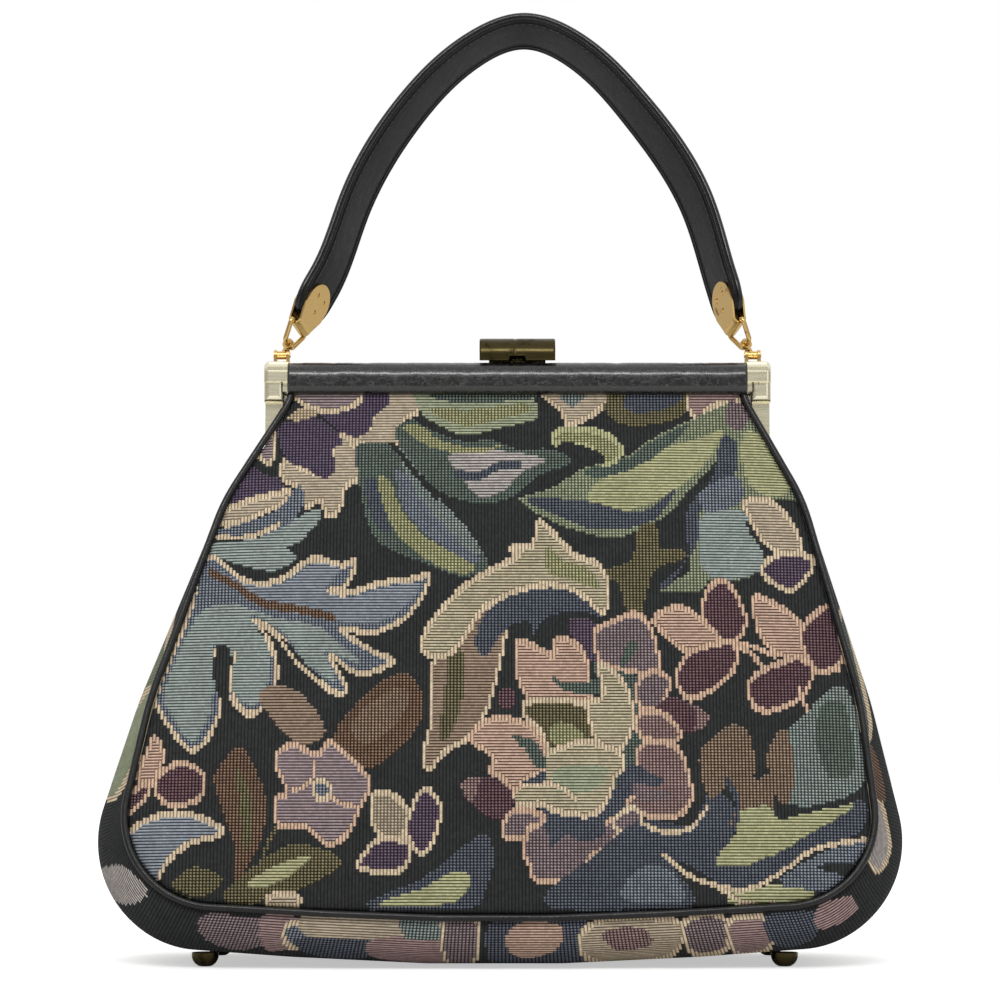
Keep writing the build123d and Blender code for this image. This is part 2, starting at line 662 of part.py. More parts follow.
os.makedirs("parts", exist_ok=True)
parts = {
    "gusset": make_band(0.0, 0.0, 0.0, cloth, gusset_top_z),
    "lining": make_lining(),
    "base_board": make_board(),
}
for side, name in ((-1, "front"), (1, "back")):
    parts[name + "_panel"] = make_panel(side)
    parts[name + "_piping"] = make_piping(side)
    parts[name + "_roll"] = make_roll(side)
    bar = make_bar(side)
    parts[name + "_bar"] = bar
    for x_side, hand in ((-1, "left"), (1, "right")):
        parts[name + "_foot_" + hand] = make_foot(x_side, side)
        parts[name + "_cap_" + hand] = make_cap(side, x_side, bar)
for x_side, hand in ((-1, "left"), (1, "right")):
    parts["end_plate_" + hand] = make_end_plate(x_side)
right_pieces = {
    "hinge_pin": make_hinge_pin(),
    "lug": make_lug(),
    "lug_pin": make_lug_pin(),
    "swivel_eye": make_swivel_eye(),
    "ring": make_ring(),
}
for name, shape in right_pieces.items():
    parts[name + "_right"] = shape
    parts[name + "_left"] = mirror(shape, about=Plane.YZ.offset(frame_x))
parts["clasp_plate"] = make_clasp_plate()
parts["clasp_pin"] = make_clasp_pin()
parts["clasp_lever"] = make_clasp_lever()
parts["clasp_stud"] = make_clasp_stud()
parts["strap_outer"] = make_strap(-strap_half, strap_outer - strap_half)
parts["strap_inner"] = make_strap(strap_half - strap_inner, strap_half)

for name, shape in parts.items():
    export_step(shape, "parts/" + name + ".step")
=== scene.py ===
import math
import random

import bmesh
import bpy
import numpy as np
from mathutils import Matrix, Vector


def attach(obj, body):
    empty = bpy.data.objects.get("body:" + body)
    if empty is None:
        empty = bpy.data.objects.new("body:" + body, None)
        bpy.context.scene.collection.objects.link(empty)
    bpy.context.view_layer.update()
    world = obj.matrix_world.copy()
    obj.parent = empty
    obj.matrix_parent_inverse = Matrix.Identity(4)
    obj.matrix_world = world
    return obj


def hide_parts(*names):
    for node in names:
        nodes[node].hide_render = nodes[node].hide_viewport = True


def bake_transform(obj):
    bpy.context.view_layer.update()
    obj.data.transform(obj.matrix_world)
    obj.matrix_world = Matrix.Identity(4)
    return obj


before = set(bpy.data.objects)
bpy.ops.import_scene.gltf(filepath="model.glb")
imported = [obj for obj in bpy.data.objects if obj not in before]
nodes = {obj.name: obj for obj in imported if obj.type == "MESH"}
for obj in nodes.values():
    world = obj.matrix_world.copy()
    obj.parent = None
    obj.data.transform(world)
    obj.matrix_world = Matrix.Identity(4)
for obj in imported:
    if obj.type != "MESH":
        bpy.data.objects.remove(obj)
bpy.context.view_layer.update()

mm = 0.001  # sizes below are in millimetres, and meshes are made in metres

# The bag as the frame has it: cloth outlines as half widths and heights
bag = {
    "baseX": -2.1, "lean": 9.0, "frameX": 6.9,
    "depthLow": 52.0, "depthSlope": 46.6 / 210.0, "seamLow": 22.0,
    "topZ": 232.0, "gussetTopZ": 203.0, "baseRound": 20.0,
    "seam": [(147.2, 27.4), (136.0, 102.5), (112.8, 181.6), (89.6, 222.0), (88.0, 232.0)],
    "seamBottom": 19.0, "seamRadii": [34.0, 150.0, 80.0, 18.0],
    "belly": [(172.2, 9.8), (146.0, 102.5), (117.6, 181.6), (94.4, 222.0), (92.8, 232.0)],
    "bellyBottom": -1.7, "bellyRadii": [42.0, 150.0, 80.0, 18.0],
    "sagRadius": 1100.0, "leanShares": [0.0, 0.44, 0.83, 1.0, 1.0],
}
photoView = {"place": (-0.1, -1150.0, 82.9), "up": 5.0, "lens": 103.2, "sensor": 36.0, "pixels": 1000}
arcStep = 0.05  # radians for each step round a corner


def pixelOf(points):  # where points in millimetres fall in the picture
    angle = math.radians(photoView["up"])
    forward = np.array([0, math.cos(angle), math.sin(angle)])
    upward = np.array([0, -math.sin(angle), math.cos(angle)])
    rel = points - np.array(photoView["place"])
    scale = photoView["pixels"] * photoView["lens"] / photoView["sensor"] / (rel @ forward)
    middle = photoView["pixels"] / 2
    return middle + rel[:, 0] * scale, middle - (rel @ upward) * scale


def roundedLine(corners, radii):  # a polyline with its inner corners rounded
    line = [Vector(corners[0])]
    for before, corner, after, radius in zip(corners, corners[1:], corners[2:], radii):
        corner = Vector(corner)
        a, b = (Vector(before) - corner).normalized(), (Vector(after) - corner).normalized()
        half = a.angle(b) / 2
        centre = corner + (a + b).normalized() * radius / math.sin(half)
        start = corner + a * radius / math.tan(half) - centre
        turn = math.copysign(math.pi - 2 * half, a.x * b.y - a.y * b.x) * -1
        steps = max(2, int(abs(turn) / arcStep) + 1)
        for i in range(steps + 1):
            c, s = math.cos(turn * i / steps), math.sin(turn * i / steps)
            line.append(centre + Vector((start.x * c - start.y * s, start.x * s + start.y * c)))
    line.append(Vector(corners[-1]))
    return np.array([tuple(p) for p in line])


def evenly(line, count):  # the same line as count + 1 points at equal steps
    steps = np.linalg.norm(np.diff(line, axis=0), axis=1)
    along = np.concatenate([[0], np.cumsum(steps)])
    wanted = np.linspace(0, along[-1], count + 1)
    return np.stack([np.interp(wanted, along, line[:, k]) for k in range(line.shape[1])], 1), along[-1]


def outlineAt(share, grow=0.0, growLow=0.0, topZ=None):  # on the sloping plane, from right to left
    past = max(0.0, abs(share) * bag["depthLow"] - (bag["depthLow"] - bag["baseRound"]))
    rise = 1 - math.sqrt(max(0.0, 1 - (past / bag["baseRound"]) ** 2))
    bulge = share * share
    stretch = math.hypot(1, share * bag["depthSlope"])
    points = []
    for (seamW, seamZ), (bellyW, bellyZ), lean in zip(bag["seam"], bag["belly"], bag["leanShares"]):
        points.append([bellyW + (seamW - bellyW) * bulge + grow, bellyZ + (seamZ - bellyZ) * rise,
                       lean * bag["lean"]])
    low = bag["bellyBottom"] + (bag["seamBottom"] - bag["bellyBottom"]) * rise - growLow
    points[0][1] -= growLow
    radii = [b + (s - b) * bulge for s, b in zip(bag["seamRadii"], bag["bellyRadii"])]
    radii[0] += (grow + growLow) / 2
    topZ = bag["topZ"] if topZ is None else topZ
    while points[-2][1] > topZ:
        points.pop()
    kept = (topZ - points[-2][1]) / (points[-1][1] - points[-2][1])
    points[-1] = [a + (b - a) * kept for a, b in zip(points[-2], points[-1])]
    right = [(lean + width, z * stretch) for width, z, lean in points]
    left = [(lean - width, z * stretch) for width, z, lean in points]
    radii = radii[:len(points) - 1]
    return roundedLine(right[::-1] + [(0, low * stretch)] + left, radii[::-1] + [bag["sagRadius"]] + radii)


def inPlace(flat, share, lift=0.0):  # from the sloping plane at this share to the bag's own frame
    slope = share * bag["depthSlope"]
    stretch = math.hypot(1, slope)
    z = flat[:, 1] / stretch
    y = share * (bag["depthLow"] + bag["depthSlope"] * bag["seamLow"]) - slope * z
    side = math.copysign(1, share) if share else 0.0
    lift = np.broadcast_to(lift, z.shape)
    return np.stack([bag["baseX"] + flat[:, 0], y + side * lift / stretch,
                     z + abs(slope) * lift / stretch], 1)


def gridPiece(places, uvs=None, closed=False):
    # a grid is bent to places[row][column] in millimetres, and uvs[row][column] go to its own map
    rows, columns = places.shape[0] - 1, places.shape[1] - 1
    bm = bmesh.new()
    bmesh.ops.create_grid(bm, x_segments=columns, y_segments=rows, size=0.5)
    where = {v: (int(round((v.co.y + 0.5) * rows)), int(round((v.co.x + 0.5) * columns))) for v in bm.verts}
    layer = bm.loops.layers.uv.new("surface")
    if uvs is not None:
        for face in bm.faces:
            for loop in face.loops:
                loop[layer].uv = uvs[where[loop.vert]]
    for v, spot in where.items():
        v.co = Vector(places[spot]) * mm
    if closed:  # the last column meets the first, and both ends get a face
        bmesh.ops.remove_doubles(bm, verts=bm.verts, dist=1e-6)
        bmesh.ops.holes_fill(bm, edges=[e for e in bm.edges if e.is_boundary], sides=0)
        bmesh.ops.recalc_face_normals(bm, faces=bm.faces)
    return bm


def finished(name, bm, material, body=None, smooth=True):
    mesh = bpy.data.meshes.new(name)
    bm.to_mesh(mesh)
    bm.free()
    mesh.materials.append(material)
    for face in mesh.polygons:
        face.use_smooth = smooth
    obj = bpy.data.objects.new(name, mesh)
    bpy.context.scene.collection.objects.link(obj)
    if body:
        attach(obj, body)
    return obj


# materials

def srgb(*levels):
    return tuple(((v / 255 + 0.055) / 1.055) ** 2.4 if v > 10 else v / 255 / 12.92 for v in levels)


def newMaterial(name):
    material = bpy.data.materials.new(name)
    material.use_nodes = True
    return material, material.node_tree, material.node_tree.nodes["Principled BSDF"]


def add(tree, kind, inputs=(), **settings):
    made = tree.nodes.new(kind)
    for key, value in settings.items():
        setattr(made, key, value)
    for key, value in dict(inputs).items():
        feed(tree, value, made.inputs[key])
    return made


def feed(tree, value, socket):
    if isinstance(value, bpy.types.NodeSocket):
        tree.links.new(value, socket)
    elif isinstance(value, bpy.types.Node):
        tree.links.new(value.outputs[0], socket)
    else:
        socket.default_value = value


def calc(tree, operation, *values):
    return add(tree, "ShaderNodeMath", dict(enumerate(values)), operation=operation).outputs[0]


def blendColour(tree, share, low, high, kind="MIX"):
    made = tree.nodes.new("ShaderNodeMix")
    made.data_type, made.blend_type = "RGBA", kind
    for socket, value in ((made.inputs[0], share), (made.inputs[6], low), (made.inputs[7], high)):
        feed(tree, value, socket)
    return made.outputs[2]


def spread(tree, value, fromLow, fromHigh, toLow=0.0, toHigh=1.0, smooth=False):
    made = add(tree, "ShaderNodeMapRange", {0: value, 1: fromLow, 2: fromHigh, 3: toLow, 4: toHigh})
    made.interpolation_type = "SMOOTHSTEP" if smooth else "LINEAR"
    return made.outputs[0]


def noise(tree, where, scale, detail=3.0, rough=0.55, distortion=0.0):
    return add(tree, "ShaderNodeTexNoise", {"Vector": where, "Scale": scale, "Detail": detail,
                                            "Roughness": rough, "Distortion": distortion}).outputs[0]


def bump(tree, height, strength, distance, normal=None):
    inputs = {"Height": height, "Strength": strength, "Distance": distance}
    if normal is not None:
        inputs["Normal"] = normal
    return add(tree, "ShaderNodeBump", inputs).outputs[0]


weave = {"pitchX": 1.32, "pitchZ": 1.17, "depth": 0.00035, "roughness": 0.9, "specular": 0.12,
         "wander": 0.16, "slant": 0.16, "reach": 1.6, "threadEdge": (0.5, 1.04), "fuzz": 0.35,
         "cloud": (0.9, 1.08)}


def surfaceMap(tree):
    return add(tree, "ShaderNodeUVMap", uv_map="surface")


def fromMiddle(tree, value):  # 0 in the middle of a thread's cell and 1 at its edge
    return calc(tree, "MULTIPLY", calc(tree, "ABSOLUTE", calc(tree, "SUBTRACT", value, 0.5)), 2.0)


def squaredReach(tree, distance, share):
    held = calc(tree, "MULTIPLY", share, weave["reach"])
    return calc(tree, "POWER", calc(tree, "MULTIPLY", distance, held), 2.0)


def tapestryMaterial():
    material, tree, shader = newMaterial("tapestryWeave")
    cell = add(tree, "ShaderNodeSeparateXYZ", {0: surfaceMap(tree)})
    light = add(tree, "ShaderNodeAttribute", attribute_name="threadLight")
    dark = add(tree, "ShaderNodeAttribute", attribute_name="threadDark")
    fibre = noise(tree, surfaceMap(tree), 2.3, 2.0)
    wander = calc(tree, "MULTIPLY", fibre, weave["wander"])
    across = calc(tree, "FRACT", calc(tree, "ADD", cell.outputs[0], wander))
    upward = calc(tree, "FRACT", cell.outputs[1])
    shift = calc(tree, "MULTIPLY", calc(tree, "SUBTRACT", upward, 0.5), weave["slant"])
    fromX = fromMiddle(tree, calc(tree, "ADD", across, shift))
    fromZ = fromMiddle(tree, upward)
    # the attributes' alphas say how the pale thread lies: as dots, along a row or down a column
    squares = calc(tree, "ADD", squaredReach(tree, fromX, light.outputs["Alpha"]),
                   squaredReach(tree, fromZ, dark.outputs["Alpha"]))
    thread = spread(tree, calc(tree, "SQRT", squares), *weave["threadEdge"], 1.0, 0.0, smooth=True)
    colour = blendColour(tree, thread, dark.outputs["Color"], light.outputs["Color"])
    cloudy = spread(tree, noise(tree, surfaceMap(tree), 0.09, 3.0), 0.3, 0.7, *weave["cloud"])
    shade = add(tree, "ShaderNodeCombineColor", {0: cloudy, 1: cloudy, 2: cloudy})
    feed(tree, blendColour(tree, 1.0, colour, shade, "MULTIPLY"), shader.inputs["Base Color"])
    shader.inputs["Roughness"].default_value = weave["roughness"]
    shader.inputs["Specular IOR Level"].default_value = weave["specular"]
    height = calc(tree, "ADD", thread, calc(tree, "MULTIPLY", fibre, weave["fuzz"]))
    feed(tree, bump(tree, height, 0.6, weave["depth"]), shader.inputs["Normal"])
    return material


def creaseLines(tree, where, size, width):  # fine crossing creases, about size millimetres apart
    drift = add(tree, "ShaderNodeTexNoise", {"Vector": where, "Scale": 0.35, "Detail": 3.0})
    moved = add(tree, "ShaderNodeVectorMath", {0: drift.outputs["Color"], 1: (5.0, 5.0, 5.0)},
                operation="MULTIPLY")
    bent = add(tree, "ShaderNodeVectorMath", {0: where, 1: moved.outputs[0]}, operation="ADD")
    cells = add(tree, "ShaderNodeTexVoronoi", {"Vector": bent.outputs[0], "Scale": 1 / size},
                feature="DISTANCE_TO_EDGE")
    lines = spread(tree, cells.outputs["Distance"], 0.0, width, 1.0, 0.0, smooth=True)
    patchy = spread(tree, noise(tree, where, 0.4, 2.0), 0.38, 0.62)
    return calc(tree, "MULTIPLY", lines, patchy)


def leatherMaterial(name, colour, worn, roughness, grain, crease, grainDepth, creaseDepth,
                    coat=0.0, specular=0.5, own=True, creasesAndHighlight=None):
    material, tree, shader = newMaterial(name)
    if own:  # the piece has its own map, in millimetres
        where = surfaceMap(tree).outputs[0]
    else:
        where = add(tree, "ShaderNodeTexCoord").outputs["Object"]
    pores = add(tree, "ShaderNodeTexVoronoi", {"Vector": where, "Scale": grain, "Randomness": 0.9},
                feature="DISTANCE_TO_EDGE")
    pebble = spread(tree, pores.outputs["Distance"], 0.0, 0.25, smooth=True)
    folds = noise(tree, where, crease, 4.0, 0.6, 0.8)
    rubbed = spread(tree, noise(tree, where, crease * 0.35, 4.0, 0.6), 0.45, 0.75)
    wearAndCreaseHighlight = blendColour(tree, rubbed, (*colour, 1), (*worn, 1))
    if creasesAndHighlight:
        # the crease lines are laid in a lighter tone, a painted highlight where the wrinkles catch the light;
        # the same lines also raise the bump
        lines = creaseLines(tree, where, creasesAndHighlight["apart"], creasesAndHighlight["width"])
        wearAndCreaseHighlight = blendColour(tree, lines, wearAndCreaseHighlight, (*creasesAndHighlight["tone"], 1))
        folds = calc(tree, "ADD", folds, calc(tree, "MULTIPLY", lines, creasesAndHighlight["height"]))
    feed(tree, wearAndCreaseHighlight, shader.inputs["Base Color"])
    feed(tree, spread(tree, folds, 0.3, 0.75, roughness - 0.07, roughness + 0.1), shader.inputs["Roughness"])
    shader.inputs["Specular IOR Level"].default_value = specular
    shader.inputs["Coat Weight"].default_value = coat
    shader.inputs["Coat Roughness"].default_value = 0.15
    low = bump(tree, folds, 0.5, creaseDepth)
    feed(tree, bump(tree, pebble, 0.5, grainDepth, low), shader.inputs["Normal"])
    return material


def brassMaterial(name, colour, tarnish, roughness, tarnishShare, brush):
    material, tree, shader = newMaterial(name)
    where = add(tree, "ShaderNodeTexCoord").outputs["Object"]
    cloud = noise(tree, where, 180.0, 5.0, 0.62, 0.4)
    spots = spread(tree, cloud, 0.62 - tarnishShare, 0.72, smooth=True)
    feed(tree, blendColour(tree, spots, (*colour, 1), (*tarnish, 1)), shader.inputs["Base Color"])
    long = add(tree, "ShaderNodeMapping", {"Vector": where, "Scale": (120.0, 900.0, 2600.0)})
    hair = noise(tree, long, 1.0, 2.0)
    dull = calc(tree, "ADD", calc(tree, "MULTIPLY", spots, 0.5), calc(tree, "MULTIPLY", hair, 0.6))
    feed(tree, spread(tree, dull, 0.2, 0.9, roughness, roughness + 0.16), shader.inputs["Roughness"])
    shader.inputs["Metallic"].default_value = 1.0
    feed(tree, bump(tree, hair, brush, 0.00004), shader.inputs["Normal"])
    return material


def liningMaterial():
    material, tree, shader = newMaterial("liningCotton")
    where = surfaceMap(tree).outputs[0]
    twill = add(tree, "ShaderNodeTexWave", {"Vector": where, "Scale": 1.1, "Distortion": 0.6},
                bands_direction="DIAGONAL")
    tone = noise(tree, where, 0.06, 3.0)
    colour = blendColour(tree, tone, (0.018, 0.016, 0.015, 1), (0.05, 0.046, 0.042, 1))
    feed(tree, colour, shader.inputs["Base Color"])
    shader.inputs["Roughness"].default_value = 0.9
    feed(tree, bump(tree, twill.outputs["Fac"], 0.4, 0.0002), shader.inputs["Normal"])
    return material


def boardMaterial():
    material, tree, shader = newMaterial("baseBoardFibre")
    where = add(tree, "ShaderNodeTexCoord").outputs["Object"]
    flecks = noise(tree, where, 900.0, 4.0)
    colour = blendColour(tree, flecks, (0.035, 0.03, 0.026, 1), (0.12, 0.1, 0.085, 1))
    feed(tree, colour, shader.inputs["Base Color"])
    shader.inputs["Roughness"].default_value = 0.92
    feed(tree, bump(tree, flecks, 0.3, 0.0002), shader.inputs["Normal"])
    return material


tapestryWeave = tapestryMaterial()
pipingLeather = leatherMaterial(
    "pipingLeather", colour=(0.005, 0.005, 0.005), worn=(0.014, 0.014, 0.013), roughness=0.3,
    grain=0.9, crease=0.12, grainDepth=0.00004, creaseDepth=0.0003, coat=0.06, specular=0.34)
rollLeather = leatherMaterial(
    "rollLeather", colour=(0.003, 0.0027, 0.0025), worn=(0.006, 0.0054, 0.005), roughness=0.28,
    grain=1.1, crease=0.3, grainDepth=0.00002, creaseDepth=0.00014, coat=0.5, specular=0.5,
    # its crease tone is a painted highlight on the roll's wrinkles
    creasesAndHighlight={"apart": 2.6, "width": 0.08, "tone": (0.03, 0.028, 0.026), "height": 0.8})
strapLeather = leatherMaterial(
    "strapLeather", colour=(0.004, 0.0036, 0.0034), worn=(0.009, 0.0075, 0.007), roughness=0.24,
    grain=1.4, crease=0.2, grainDepth=0.00003, creaseDepth=0.0002, coat=0.2, specular=0.36)
strapBackLeather = leatherMaterial(
    "strapBackLeather", colour=(0.004, 0.0036, 0.0034), worn=(0.009, 0.0075, 0.007), roughness=0.32,
    grain=1.2, crease=0.2, grainDepth=0.00005, creaseDepth=0.0003, specular=0.2)
strapThread = leatherMaterial(
    "strapThread", colour=(0.012, 0.01, 0.009), worn=(0.03, 0.026, 0.022), roughness=0.6,
    grain=900.0, crease=300.0, grainDepth=0.00004, creaseDepth=0.0001, own=False)
satinBrass = brassMaterial("satinBrass", srgb(208, 174, 110), srgb(146, 108, 54),
                           roughness=0.24, tarnishShare=0.02, brush=0.25)
paleBrass = brassMaterial("paleBrass", srgb(244, 236, 206), srgb(160, 136, 92),
                          roughness=0.24, tarnishShare=0.02, brush=0.2)
agedBrass = brassMaterial("agedBrass", srgb(70, 62, 38), srgb(30, 25, 13),
                          roughness=0.26, tarnishShare=0.12, brush=0.35)
liningCotton = liningMaterial()
baseBoardFibre = boardMaterial()
print("materials made")

# the print on the cloth, in the photo's pixels: how the thread lies, its colours, its edge, its shape

clothTone = {"pale": 0.84, "deep": 0.5, "paleLuck": (0.82, 1.12), "deepLuck": (0.78, 1.2)}
motifEdge = {"width": 1.9, "tall": 0.62, "margin": 6}
threads = {  # pale thread, dark thread
    "ground": ((53, 54, 54), (33, 34, 35)),
    "purple": ((118, 105, 124), (58, 46, 64)),
    "tan": ((206, 190, 166), (134, 120, 100)),
    "mauve": ((168, 150, 152), (82, 68, 72)),
    "rose": ((178, 152, 148), (92, 68, 66)),
    "teal": ((170, 180, 174), (68, 80, 78)),
    "deepTeal": ((124, 136, 126), (54, 64, 60)),
    "blue": ((156, 162, 170), (62, 70, 84)),
    "navy": ((116, 120, 128), (44, 50, 62)),
    "lime": ((196, 196, 152), (108, 106, 70)),
    "sage": ((178, 184, 154), (90, 98, 76)),
    "lavender": ((198, 190, 184), (82, 76, 78)),
    "olive": ((146, 138, 106), (58, 52, 32)),
    "fawn": ((204, 188, 164), (120, 104, 84)),
    "burgundy": ((130, 106, 110), (62, 34, 42)),
    "plum": ((122, 106, 122), (56, 42, 58)),
    "peach": ((214, 182, 162), (104, 72, 56)),
    "beige": ((206, 194, 164), (88, 80, 56)),
    "brown": ((152, 126, 106), (64, 41, 28)),
    "cocoa": ((172, 150, 130), (76, 56, 42)),
    "cream": ((228, 208, 178), (158, 136, 106)),
    "pinkCream": ((222, 190, 164), (150, 112, 90)),
}
layOf = {"dots": (0.72, 0.70), "lines": (0.16, 0.80), "edge": (0.70, 0.10), "plain": (0.62, 0.03)}
strokeOf = {"ground": "plain", "cream": "edge", "pinkCream": "edge"}  # other strokes are laid as dots

